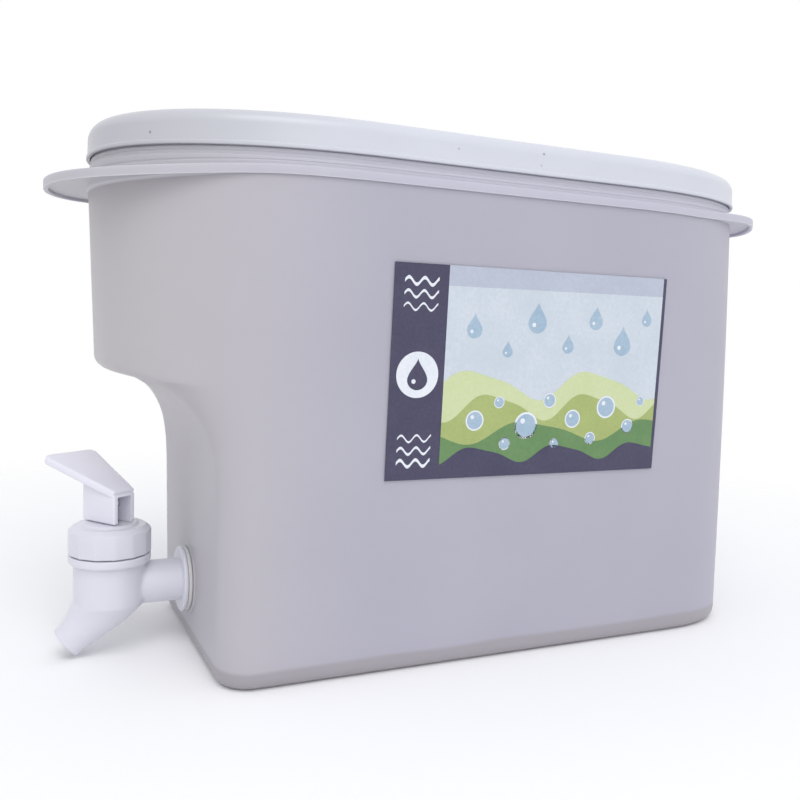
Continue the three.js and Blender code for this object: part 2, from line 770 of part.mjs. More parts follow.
function lever() {
  const crown = pivotHeight + stem.radius + channel.crown;
  const slot = block(
    new THREE.Vector3(-column.rear - overrun, -channelHalf, leverFoot - overrun),
    new THREE.Vector3(column.front - channel.frontWall, channelHalf, crown),
  );
  const socketHalf = channelHalf + channel.socketDepth;
  const socketRadius = stem.trunnionRadius + trunnionGap;
  const socket = new THREE.CylinderGeometry(socketRadius, socketRadius, 2 * socketHalf, TURN_STEPS / 2);
  const sockets = solidFrom(socket.translate(0, 0, pivotHeight));
  return meshFrom("lever", leverColumn().add(leverPaddle()).subtract(slot).subtract(sockets), "tap");
}

// The pieces put together: the tap stands on its own axis, and its lever is swivelled on that axis
const swivelled = new THREE.Group();
swivelled.rotation.z = THREE.MathUtils.degToRad(swivelDegrees);
swivelled.add(stemPiece(), returnSpring(), lever());

const tap = new THREE.Group();
tap.position.x = -tapAxis;
tap.add(
  tapBody(),
  washer("outer_washer", outerWasher, outerWasherAt),
  washer("inner_washer", innerWasher, innerWasherAt),
  lockNutPiece(),
  bonnetNut(),
  seatCupPiece(),
  swivelled,
);

const jug = new THREE.Group();
jug.add(tank(), lid(), labelFilm(), tap);

export default jug;
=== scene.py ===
"""Looks of a fridge water jug with a push tap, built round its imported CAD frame.

Sizes are in millimetres until a mesh is finished. The tap is at -X and the labelled side faces -Y.
"""

import logging
import math
from collections.abc import Iterable, Sequence
from dataclasses import dataclass, field
from enum import Enum

import bmesh
import bpy
import numpy as np
from mathutils import Matrix, Vector


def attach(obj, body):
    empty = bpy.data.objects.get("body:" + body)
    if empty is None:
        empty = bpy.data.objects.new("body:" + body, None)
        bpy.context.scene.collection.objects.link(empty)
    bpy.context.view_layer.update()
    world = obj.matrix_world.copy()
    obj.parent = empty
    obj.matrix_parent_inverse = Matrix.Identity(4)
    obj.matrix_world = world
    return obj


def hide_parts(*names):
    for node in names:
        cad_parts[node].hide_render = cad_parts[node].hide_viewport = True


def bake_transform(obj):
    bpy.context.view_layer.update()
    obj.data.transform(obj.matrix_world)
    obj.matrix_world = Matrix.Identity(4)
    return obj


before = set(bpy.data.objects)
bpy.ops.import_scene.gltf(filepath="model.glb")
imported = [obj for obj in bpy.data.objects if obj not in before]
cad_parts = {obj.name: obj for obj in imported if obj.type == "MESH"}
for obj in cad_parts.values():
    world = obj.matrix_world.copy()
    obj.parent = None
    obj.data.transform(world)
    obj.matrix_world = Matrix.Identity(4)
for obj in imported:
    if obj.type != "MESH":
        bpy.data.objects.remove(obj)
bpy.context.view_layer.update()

log = logging.getLogger("jug")

MM = 0.001
WELD = 1e-4  # vertices closer than this, in millimetres, are one
CREASE_DEGREES = 38.0
SHANK_HEIGHT = 23.5  # the tap's shank runs along X at this height
LEAD_STEPS = 8
ARC_STEPS = 120
EAR_STEPS = 480
ROUND_SHARE = 0.49  # a round takes up just under half of each side that it joins
UPRIGHT = 0.9  # a face whose normal rises less than this isn't level
PAINTED_LIGHT_END_MM = -125.0  # the painted light and shade in a plastic's colour is complete here, at the tap end
PAINTED_LIGHT_SHARE = 0.9

Ring = np.ndarray
Pair = tuple[float, float]
Corner = tuple[float, float, float]
Mesh = bmesh.types.BMesh
Piece = bpy.types.Object
Material = bpy.types.Material
Socket = bpy.types.NodeSocket
Feeds = dict[str | int, object]


# Curves and outlines


@dataclass(frozen=True)
class Plan:
    """A plan outline: two straight long sides closed by a rounded cap at each end."""

    half_length: float
    half_width: float
    cap: float
    squareness: float
    lead: float = 8.0

    def inset(self, by: float) -> "Plan":
        """Returns the outline moved inwards by a distance."""
        return Plan(self.half_length - by, self.half_width - by, self.cap - by, self.squareness)

    def mixed(self, other: "Plan", share: float) -> "Plan":
        """Returns the outline a share of the way to another one."""
        pairs = zip(self.values(), other.values())
        return Plan(*(a + (b - a) * share for a, b in pairs))

    def values(self) -> tuple[float, float, float, float]:
        """Returns the four sizes in order."""
        return (self.half_length, self.half_width, self.cap, self.squareness)

    def cap_curve(self, samples: int = 960) -> np.ndarray:
        """Returns a quarter of the outline, from the end of the long side to the nose.

        Args:
            samples: how many steps the quarter is worked out in.

        Returns:
            Points as rows of x and y, both positive.
        """
        turn = np.linspace(0, math.pi / 2, samples + 1)
        power = 2 / self.squareness
        start = self.half_length - self.cap
        across = self.half_width * np.abs(np.cos(turn)) ** power
        cap = np.column_stack((start + self.cap * np.sin(turn) ** power, across))
        lead = np.linspace(start - self.lead, start, LEAD_STEPS + 1)[:-1]
        return np.vstack((np.column_stack((lead, np.full(LEAD_STEPS, self.half_width))), cap))

    def side_at(self, x: float) -> float:
        """Returns how far the long side stands from the middle plane at a place along it."""
        past = max(abs(x) - (self.half_length - self.cap), 0) / self.cap
        return self.half_width * (1 - min(past, 1) ** self.squareness) ** (1 / self.squareness)


def lengths_along(curve: np.ndarray) -> np.ndarray:
    """Returns how far each of a curve's points lies along it."""
    return np.concatenate(([0], np.cumsum(np.linalg.norm(np.diff(curve, axis=0), axis=1))))


def spread_places(curve: np.ndarray, steps: int) -> np.ndarray:
    """Spreads places along a curve, half by length and half by how far it has turned.

    Args:
        curve: points as rows of x and y.
        steps: the number of steps wanted.

    Returns:
        steps + 1 places counted in the curve's own points, with both ends kept.
    """
    step = np.diff(curve, axis=0)
    length = np.linalg.norm(step, axis=1)
    cross = step[:-1, 0] * step[1:, 1] - step[:-1, 1] * step[1:, 0]
    bend = np.arcsin(np.clip(np.abs(cross) / np.maximum(length[:-1] * length[1:], 1e-12), 0, 1))
    lengths = lengths_along(curve)
    turns = np.concatenate(([0, 0], np.cumsum(bend)))
    marks = lengths / lengths[-1] + turns / max(turns[-1], 1e-9)
    return np.interp(np.linspace(0, marks[-1], steps + 1), marks, np.arange(len(curve)))


def picked(curve: np.ndarray, places: np.ndarray) -> np.ndarray:
    """Returns the points of a curve at places counted in its own points."""
    marks = np.arange(len(curve))
    return np.column_stack([np.interp(places, marks, curve[:, axis]) for axis in (0, 1)])


def spread(curve: np.ndarray, steps: int) -> np.ndarray:
    """Returns points spread along a curve, with both ends kept."""
    return picked(curve, spread_places(curve, steps))


def rounded_path(corners: Sequence[Corner], steps: int = 4) -> list[Pair]:
    """Rounds the corners of an open path.

    Args:
        corners: places as pairs, each with the radius of its corner.
        steps: how many steps each round takes.

    Returns:
        The path's points, with an arc at each corner that has a radius.
    """
    path: list[Pair] = []
    for index, (a, b, radius) in enumerate(corners):
        at = Vector((a, b))
        if radius <= 0 or index in (0, len(corners) - 1):
            path.append((a, b))
            continue
        back = Vector(corners[index - 1][:2]) - at
        ahead = Vector(corners[index + 1][:2]) - at
        half = back.angle(ahead) / 2
        reach = min(radius / math.tan(half), back.length * ROUND_SHARE, ahead.length * ROUND_SHARE)
        first, last = at + back.normalized() * reach, at + ahead.normalized() * reach
        middle = at + (back.normalized() + ahead.normalized()).normalized() * (reach / math.cos(half))
        for step in range(steps + 1):
            arm = (first - middle).slerp(last - middle, step / steps, first - middle)
            path.append(tuple(middle + arm * (reach * math.tan(half))))
    return path


def quarter(steps: int) -> list[Pair]:
    """Returns the sine and the cosine at each of the equal steps of a quarter turn."""
    turns = [step / steps * math.pi / 2 for step in range(steps + 1)]
    return [(math.sin(turn), math.cos(turn)) for turn in turns]


def smooth_share(value: np.ndarray | float, low: float, high: float) -> np.ndarray | float:
    """Returns 0 below low, 1 above high and a smooth rise between them."""
    share = np.clip((value - low) / (high - low), 0, 1)
    return share * share * (3 - 2 * share)


# Meshes


def skin_of(rings: Sequence[Ring]) -> Mesh:
    """Grows a closed mesh over rings, by extruding the last ring's edges to the next one.

    Args:
        rings: the rings in order, each with the same number of points as rows of x, y and z.

    Returns:
        The mesh, closed with a face at both ends.
    """
    mesh = bmesh.new()
    last = list(bmesh.ops.create_circle(mesh, cap_ends=True, segments=len(rings[0]), radius=1)["verts"])
    for vertex, point in zip(last, rings[0]):
        vertex.co = point
    edges = list(mesh.edges)
    for ring in rings[1:]:
        made = bmesh.ops.extrude_edge_only(mesh, edges=edges)["geom"]
        place = {vertex: index for index, vertex in enumerate(last)}
        for vertex in (item for item in made if isinstance(item, bmesh.types.BMVert)):
            for edge in vertex.link_edges:
                if edge.other_vert(vertex) in place:
                    index = place[edge.other_vert(vertex)]
                    vertex.co = ring[index]
                    last[index] = vertex
        edges = [item for item in made if isinstance(item, bmesh.types.BMEdge)]
    bmesh.ops.contextual_create(mesh, geom=edges)
    return mesh


def turned(profile: Sequence[Pair], steps: int = 96) -> Mesh:
    """Turns a profile about the Z axis.

    Args:
        profile: pairs of radius and height; a ring's profile ends where it starts.
        steps: how many steps a full turn takes.

    Returns:
        A closed mesh.
    """
    mesh = bmesh.new()
    vertices = [mesh.verts.new((radius, 0, height)) for radius, height in profile]
    edges = [mesh.edges.new(pair) for pair in zip(vertices, vertices[1:])]
    bmesh.ops.spin(
        mesh, geom=vertices + edges, cent=(0, 0, 0), axis=(0, 0, 1),
        angle=2 * math.pi, steps=steps, use_merge=True,
    )
    bmesh.ops.remove_doubles(mesh, verts=mesh.verts, dist=WELD)
    bmesh.ops.dissolve_degenerate(mesh, edges=mesh.edges, dist=WELD)
    return mesh


def lathe(corners: Sequence[Corner], steps: int = 96, round_steps: int = 4) -> Mesh:
    """Turns a path with rounded corners about the Z axis."""
    return turned(rounded_path(corners, round_steps), steps)


def slug(radius: float, low: float, high: float) -> Mesh:
    """Returns a plain cylinder on the Z axis between two heights."""
    return turned([(0, low), (radius, low), (radius, high), (0, high)])


def washer(inner: float, outer: float, low: float, high: float, soft: float) -> Mesh:
    """Makes a flat ring on the Z axis.

    Args:
        inner: its inner radius.
        outer: its outer radius.
        low: the height of its lower face.
        high: the height of its upper face.
        soft: the radius of its corners.

    Returns:
        A closed mesh.
    """
    middle = (low + high) / 2
    return lathe([
        (inner, middle, 0), (inner, low, soft), (outer, low, soft),
        (outer, high, soft), (inner, high, soft), (inner, middle, 0),
    ])


def rod(radius: float, length: float, segments: int, place: Matrix) -> Mesh:
    """Makes a cylinder, or with few segments a prism.

    Args:
        radius: the radius of its corners.
        length: its length.
        segments: the number of its sides.
        place: the move from the origin, where its middle is, with its length along Z.

    Returns:
        A closed mesh.
    """
    mesh = bmesh.new()
    bmesh.ops.create_cone(
        mesh, cap_ends=True, segments=segments, radius1=radius, radius2=radius, depth=length, matrix=place
    )
    return mesh


def prism(outline: Sequence[Pair], depth: float) -> Mesh:
    """Makes a prism that is centred on the XZ plane.

    Args:
        outline: its corners as x and z.
        depth: its depth along Y.

    Returns:
        A closed mesh.
    """
    mesh = bmesh.new()
    face = mesh.faces.new([mesh.verts.new((x, -depth / 2, z)) for x, z in outline])
    made = bmesh.ops.extrude_face_region(mesh, geom=[face])["geom"]
    moved = [item for item in made if isinstance(item, bmesh.types.BMVert)]
    bmesh.ops.translate(mesh, vec=(0, depth, 0), verts=moved)
    bmesh.ops.recalc_face_normals(mesh, faces=mesh.faces)
    return mesh


def soften(mesh: Mesh, radius: float, least_degrees: float = 30, segments: int = 4) -> Mesh:
    """Rounds the sharp edges of a mesh.

    Args:
        mesh: the mesh, which is changed.
        radius: the radius of the rounds.
        least_degrees: how far the faces turn at an edge that is rounded.
        segments: how many steps each round takes.

    Returns:
        The same mesh.
    """
    least = math.radians(least_degrees)
    sharp = [edge for edge in mesh.edges if len(edge.link_faces) == 2 and edge.calc_face_angle() > least]
    bmesh.ops.bevel(
        mesh, geom=sharp, offset=radius, offset_type="OFFSET", affect="EDGES",
        segments=segments, profile=0.5, material=-1, clamp_overlap=True,
    )
    return mesh


def laid(height: float, axis: str) -> Matrix:
    """Returns a quarter turn about an axis, followed by a rise to a height."""
    return Matrix.Translation((0, 0, height)) @ Matrix.Rotation(math.pi / 2, 4, axis)


def along_shank(mesh: Mesh) -> Mesh:
    """Lays a turned mesh down, so that its Z axis is the shank's axis."""
    bmesh.ops.transform(mesh, matrix=laid(SHANK_HEIGHT, "Y"), verts=mesh.verts)
    return mesh


# Objects


def linked(name: str, data: bpy.types.ID) -> Piece:
    """Puts a new object in the scene.

    Args:
        name: its name.
        data: its mesh, curve, lamp or camera.

    Returns:
        The object.
    """
    made = bpy.data.objects.new(name, data)
    bpy.context.scene.collection.objects.link(made)
    return made


def shade(piece: Piece) -> None:
    """Shades a piece smooth, with sharp edges where its faces turn by more than the crease angle."""
    piece.data.shade_smooth()
    piece.data.set_sharp_from_angle(angle=math.radians(CREASE_DEGREES))


def object_of(mesh: Mesh, name: str) -> Piece:
    """Turns a mesh into an object in metres at the origin.

    Args:
        mesh: the mesh in millimetres, which is freed.
        name: the object's name.

    Returns:
        The new object, smooth but for its sharp edges.
    """
    bmesh.ops.scale(mesh, vec=(MM, MM, MM), verts=mesh.verts)
    data = bpy.data.meshes.new(name)
    mesh.to_mesh(data)
    mesh.free()
    made = linked(name, data)
    shade(made)
    return made


def solid(mesh: Mesh, name: str, place: Matrix | None = None) -> Piece:
    """Welds a closed mesh and turns it into an object.

    Args:
        mesh: the mesh in millimetres, which is freed.
        name: the object's name.
        place: a move made in millimetres first.

    Returns:
        The new object, smooth but for its sharp edges.
    """
    bmesh.ops.remove_doubles(mesh, verts=mesh.verts, dist=WELD)
    bmesh.ops.recalc_face_normals(mesh, faces=mesh.faces)
    if place is not None:
        bmesh.ops.transform(mesh, matrix=place, verts=mesh.verts)
    return object_of(mesh, name)


def evaluated(piece: Piece) -> bpy.types.Mesh:
    """Returns a piece's mesh with all of its modifiers applied."""
    bpy.context.view_layer.update()
    return bpy.data.meshes.new_from_object(piece.evaluated_get(bpy.context.evaluated_depsgraph_get()))


def settle(piece: Piece) -> None:
    """Applies all of a piece's modifiers to its mesh.

    Args:
        piece: the piece, which is changed.
    """
    data = evaluated(piece)
    data.materials.clear()  # a Boolean leaves an empty slot
    piece.modifiers.clear()
    piece.data = data
    shade(piece)


class Joining(Enum):
    """How one mesh is joined to another."""

    ADD = "UNION"
    CUT = "DIFFERENCE"
    COMMON = "INTERSECT"


def join(piece: Piece, mesh: Mesh, how: Joining, place: Matrix | None = None) -> None:
    """Adds a mesh to a piece, cuts it out or keeps what both share.

    Args:
        piece: the piece that is changed.
        mesh: the other mesh in millimetres, which is freed.
        how: what is done with it.
        place: a move made in millimetres first.
    """
    other = solid(mesh, how.name, place)
    modifier = piece.modifiers.new(how.name, "BOOLEAN")
    modifier.operation = how.value
    modifier.solver = "MANIFOLD"
    modifier.object = other
    settle(piece)
    bpy.data.objects.remove(other)


def move(piece: Piece, place: Matrix) -> None:
    """Moves a finished piece's mesh.

    Args:
        piece: the piece, already in metres.
        place: the move, with its shift in millimetres.
    """
    place = place.copy()
    place.translation *= MM
    piece.data.transform(place)


def seat(piece: Piece, materials: Iterable[Material], body: str, slot: str, *nodes: str) -> None:
    """Gives a piece its materials, makes it ride on a body in place of its CAD nodes, and reports it.

    Args:
        piece: the finished piece.
        materials: its materials, in order.
        body: the CAD body that it rides on.
        slot: the name of a material slot; it is not used.
        nodes: the CAD nodes that it replaces.
    """
    for material in materials:
        piece.data.materials.append(material)
    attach(piece, body)
    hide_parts(*nodes)
    faces = sum(len(polygon.vertices) - 2 for polygon in piece.data.polygons)
    log.info("%s rides on %s with %d triangles", piece.name, body, faces)


# Finishes


def linear(code: str) -> tuple[float, float, float, float]:
    """Turns an sRGB hex colour to the linear values that a shader takes."""
    parts = [int(code[i : i + 2], 16) / 255 for i in (1, 3, 5)]
    return (*(part / 12.92 if part <= 0.04045 else ((part + 0.055) / 1.055) ** 2.4 for part in parts), 1)


def add_node(
    tree: bpy.types.NodeTree, kind: str, feeds: Feeds | None = None, **settings: object
) -> bpy.types.Node:
    """Adds a node with its settings and links.

    Args:
        tree: the node tree.
        kind: the node's type.
        feeds: what goes into each input, by its name or number: a value, a hex colour or another
            node's output.
        settings: the node's own properties.

    Returns:
        The new node.
    """
    node = tree.nodes.new(kind)
    for key, value in settings.items():
        setattr(node, key, value)
    for key, value in (feeds or {}).items():
        if isinstance(value, Socket):
            tree.links.new(value, node.inputs[key])
        else:
            node.inputs[key].default_value = linear(value) if isinstance(value, str) else value
    return node


class Paint:
    """A new material's node tree, with the nodes that the finishes have in common."""

    def __init__(self, name: str) -> None:
        """Starts an empty material.

        Args:
            name: the real material's name.
        """
        self.material = bpy.data.materials.new(name)
        self.material.use_nodes = True
        self.tree = self.material.node_tree
        self.tree.nodes.clear()
        self.place = self.add("ShaderNodeTexCoord", output="Object")

    def add(self, kind: str, feeds: Feeds | None = None, output: str | int = 0, **settings: object) -> Socket:
        """Adds a node, as add_node does, and returns one of its outputs."""
        return add_node(self.tree, kind, feeds, **settings).outputs[output]

    def noise(self, size_mm: float, detail: float, place: Socket | None = None) -> Socket:
        """Returns noise whose features have a real size, on Object coordinates or a place given."""
        feeds = {"Vector": place or self.place, "Scale": 1 / (size_mm * MM), "Detail": detail}
        return self.add("ShaderNodeTexNoise", feeds)

    def mix(self, share: Socket, first: Socket | str, second: str) -> Socket:
        """Returns a colour that lies a share of the way from one colour to another."""
        return self.add("ShaderNodeMix", {0: share, 6: first, 7: second}, 2, data_type="RGBA")

    def ranged(self, value: Socket, to: Pair, span: Pair = (0, 1), smooth: bool = False) -> Socket:
        """Returns a value brought from a span to another one, along a line or a smooth step.

        Args:
            value: the value.
            to: what the ends of the span become.
            span: the span's ends.
            smooth: whether it is a smooth step.

        Returns:
            The new value.
        """
        feeds = {0: value, 1: span[0], 2: span[1], 3: to[0], 4: to[1]}
        return self.add("ShaderNodeMapRange", feeds, interpolation_type="SMOOTHSTEP" if smooth else "LINEAR")

    def with_painted_end_light(self, colour: Socket, from_mm: float, end: str) -> Socket:
        """Paints light and shade into a colour: it goes over to another one towards the jug's tap end.

        Args:
            colour: the colour.
            from_mm: where the painted light and shade begins, along the jug's length.
            end: the painted colour at the tap end.

        Returns:
            The new colour.
        """
        along = self.add("ShaderNodeSeparateXYZ", {0: self.place}, "X")
        share = self.ranged(along, (0, PAINTED_LIGHT_SHARE), (from_mm * MM, PAINTED_LIGHT_END_MM * MM), True)
        return self.mix(share, colour, end)

    def bump(self, height: Socket, strength: float, distance_mm: float, **feeds: Socket) -> Socket:
        """Returns normals bent by a height, over other ones where they are given as Normal."""
        own = {"Strength": strength, "Distance": distance_mm * MM, "Height": height}
        return self.add("ShaderNodeBump", {**own, **feeds})

    def ended(self, shader: Socket) -> Material:
        """Links a shader to the output and returns the material."""
        add_node(self.tree, "ShaderNodeOutputMaterial", {"Surface": shader})
        return self.material

    def surfaced(self, feeds: Feeds) -> Material:
        """Adds the surface shader with its feeds and returns the material."""
        return self.ended(self.add("ShaderNodeBsdfPrincipled", feeds))


@dataclass(frozen=True)
class FrostedPolypropylene:
    """Frosted, translucent polypropylene, blow moulded in a blasted mould.

    The eye sees a milky mauve grey that light soaks into, whiter where the wall is thin or doubled,
    with a fine blasted grain and slow waves from the moulding. The whiter flange, collar and lip are
    painted light, given as lighter copies of this finish, and each copy goes over to painted light
    and shade towards the tap end.
    """

    name: str
    wall: str
    cloud: str
    # the colour at the tap end: painted light and shade
    tap_end_painted_light: str
    foot: str
    foot_mm: float = 0
    foot_wave_mm: float = 3
    foot_blur_mm: Pair = (1.2, -0.6)
    # where the painted light and shade towards the tap end begins
    painted_light_from_mm: float = -35
    cloud_mm: float = 60
    wave_mm: float = 45
    grain_mm: float = 0.9  # the real grain is near 0.2 mm, drawn coarser so that it shows

    def build(self) -> Material:
        """Builds its nodes.

        Returns:
            The material.
        """
        paint = Paint(self.name)
        cloud = paint.noise(self.cloud_mm, 2)
        # painted light and shade: the colour goes over to another one towards the tap end
        colour = paint.with_painted_end_light(paint.mix(cloud, self.wall, self.cloud), self.painted_light_from_mm, self.tap_end_painted_light)
        if self.foot_mm:  # the colour darkens towards the bottom, up to an uneven line
            feeds = {0: cloud, 1: self.foot_wave_mm * MM, 2: self.foot_mm * MM}
            line = paint.add("ShaderNodeMath", feeds, operation="MULTIPLY_ADD")
            height = paint.add("ShaderNodeSeparateXYZ", {0: paint.place}, "Z")
            over = paint.add("ShaderNodeMath", {0: height, 1: line}, operation="SUBTRACT")
            above, below = self.foot_blur_mm
            colour = paint.mix(paint.ranged(over, (0, 1), (above * MM, below * MM), True), colour, self.foot)
        grain = paint.noise(self.grain_mm, 3)
        waves = paint.bump(paint.noise(self.wave_mm, 1), 0.35, 0.6)
        return paint.surfaced({
            "Base Color": colour, "Roughness": paint.ranged(grain, (0.4, 0.5)),
            "Normal": paint.bump(grain, 0.12, 0.08, Normal=waves), "IOR": 1.49,
            "Subsurface Weight": 0.35, "Subsurface Radius": (1.0, 0.95, 1.05),
            "Subsurface Scale": 0.004, "Transmission Weight": 0.06,
        })


@dataclass(frozen=True)
class MouldedPlastic:
    """Injection moulded plastic from a polished mould.

    The eye sees a smooth, slightly blue white with soft gloss, a faint orange peel and, on the lid,
    a few dark specks that were moulded in. On the lid the colour also goes over to a painted shade
    towards the tap end.
    """

    name: str
    colour: str
    shade: str
    roughness: float
    peel_mm: float = 4
    shade_mm: float = 35
    # where the painted shade towards the tap end begins
    painted_light_from_mm: float = -30
    speck: str = "#6E6C7C"
    speck_gap_mm: float = 0
    speck_mm: float = 0.6
    # the painted shade's colour at the tap end; none where it is empty
    end: str = ""

    def build(self) -> Material:
        """Builds its nodes.

        Returns:
            The material.
        """
        paint = Paint(self.name)
        tone = paint.noise(self.shade_mm, 2)
        colour = paint.mix(tone, self.colour, self.shade)
        # painted shade towards the tap end
        if self.end:
            colour = paint.with_painted_end_light(colour, self.painted_light_from_mm, self.end)
        if self.speck_gap_mm:
            feeds = {"Vector": paint.place, "Scale": 1 / (self.speck_gap_mm * MM)}
            near = self.speck_mm / self.speck_gap_mm
            cells = paint.add("ShaderNodeTexVoronoi", feeds, "Distance")
            dot = paint.ranged(cells, (0, 0.7), (near, near / 3))
            colour = paint.mix(dot, colour, self.speck)
        return paint.surfaced({
            "Base Color": colour, "Normal": paint.bump(paint.noise(self.peel_mm, 1), 0.15, 0.06),
            "Roughness": paint.ranged(tone, (self.roughness - 0.04, self.roughness + 0.05)), "IOR": 1.5,
            "Subsurface Weight": 0.15, "Subsurface Radius": (1.0, 1.0, 1.0), "Subsurface Scale": 0.0015,
        })


@dataclass(frozen=True)
class Silicone:
    """Moulded silicone rubber: milky, matt and slightly dusty, with light sinking into its edges."""

    colour: str = "#DEDDDA"
    dusty: str = "#CFCECB"
    dust_mm: float = 1.5

    def build(self) -> Material:
        """Builds its nodes.

        Returns:
            The material.
        """
        paint = Paint("moulded_silicone")
        dust = paint.noise(self.dust_mm, 4)
        return paint.surfaced({
            "Base Color": paint.mix(dust, self.colour, self.dusty), "Normal": paint.bump(dust, 0.2, 0.05),
            "Roughness": 0.62, "IOR": 1.41, "Subsurface Weight": 0.3, "Subsurface Scale": 0.002,
        })


@dataclass(frozen=True)
class DrawnSteel:
    """Drawn stainless spring wire: bright, with fine lines along the wire from the die."""

    colour: str = "#B9BCC2"
    line: str = "#A3A6AC"
    line_mm: float = 0.15

    def build(self) -> Material:
        """Builds its nodes.

        Returns:
            The material.
        """
        paint = Paint("drawn_stainless_wire")
        stretched = paint.add("ShaderNodeMapping", {"Vector": paint.place, "Scale": (0.1, 0.1, 1)})
        lines = paint.noise(self.line_mm, 2, stretched)
        return paint.surfaced({
            "Base Color": paint.mix(lines, self.colour, self.line),
            "Roughness": paint.ranged(lines, (0.22, 0.36)), "Metallic": 1.0,
        })


class Ink(Enum):
    """The inks printed on the film, each with its colour and the shade that it clouds to."""

    FIELD = ("#BFCAD3", "#CBD2DA")
    NAVY = ("#3B3953", "#45435C")
    WHITE = ("#E3E7EC", "#D9DEE6")
    STRIP = ("#AEB5C5", "#B7BDCB")
    SPRAY = ("#C3CE9C", "#CAD4A8")
    MEADOW = ("#9DAC68", "#A7B472")
    MOSS = ("#5D8252", "#678B58")
    DROP = ("#96AEC2", "#A8BDCD")


@dataclass(frozen=True)
class PrintedFilm:
    """Ink printed behind a glossy polypropylene film: even colour, sharp gloss and a faint print grain."""

    ink: Ink
    grain_mm: float = 1.1
    cloud_mm: float = 14

    def build(self) -> Material:
        """Builds its nodes.

        Returns:
            The material.
        """
        paint = Paint("printed_film_" + self.ink.name.lower())
        cloud = paint.noise(self.cloud_mm, 3)
        grain = paint.noise(self.grain_mm, 2)
        share = paint.add("ShaderNodeMath", {0: cloud, 1: grain}, operation="MULTIPLY")
        return paint.surfaced({
            "Base Color": paint.mix(paint.ranged(share, (0, 1), (0.12, 0.4)), *self.ink.value),
            "Roughness": 0.3, "Normal": paint.bump(cloud, 0.1, 0.3), "IOR": 1.49,
        })


@dataclass(frozen=True)
class Finishes:
    """The finishes that several pieces share."""

    tank: Material
    # collar: a lighter copy of the tank's plastic, as painted light through the thin flange and collar
    collar: Material
    # edge: a lighter copy again, as a painted highlight along the flange's lip
    edge: Material
    lid: Material
    tap: Material
    # lever: the tap's white drawn lighter, as painted light on the lever
    lever: Material
    silicone: Material
    steel: Material

    @staticmethod
    def made() -> "Finishes":
        """Builds the shared finishes.

        Returns:
            The finishes with their materials.
        """
        frosted, moulded = FrostedPolypropylene, MouldedPlastic
        return Finishes(*(finish.build() for finish in (
            # the wall goes over to painted light and shade towards the tap end
            frosted("frosted_polypropylene_wall", "#B8B6C2", "#ADABB8", "#BEBABC", "#A5A1A7", 4.8),
            # a lighter copy of the wall's plastic: painted light through the thin flange and collar, with
            # painted shade towards the tap end
            frosted("frosted_polypropylene_collar_painted_light", "#C5C3CF", "#BDBBC8", "#BDBBC0", "#BDBBC0"),
            # lighter again: a painted highlight along the flange's lip, with painted shade towards the tap
            # end
            frosted("frosted_polypropylene_lip_painted_highlight", "#D6D4DD", "#CFCDD7", "#D0CED2", "#D0CED2"),
            # the lid goes over to a painted shade towards the tap end
            moulded("white_lid_polypropylene", "#D0D3DA", "#C9CCD5", 0.3, speck_gap_mm=8, end="#B9B9BE"),
            moulded("white_tap_abs", "#DADAE2", "#D3D3DD", 0.32, peel_mm=2.5, shade_mm=14),
            # the tap's white drawn lighter: painted light on the lever
            moulded("white_lever_abs_painted_light", "#E6E5EE", "#E0DFE9", 0.32, peel_mm=2.5, shade_mm=14),
            Silicone(), DrawnSteel(),
        )))


# The tank


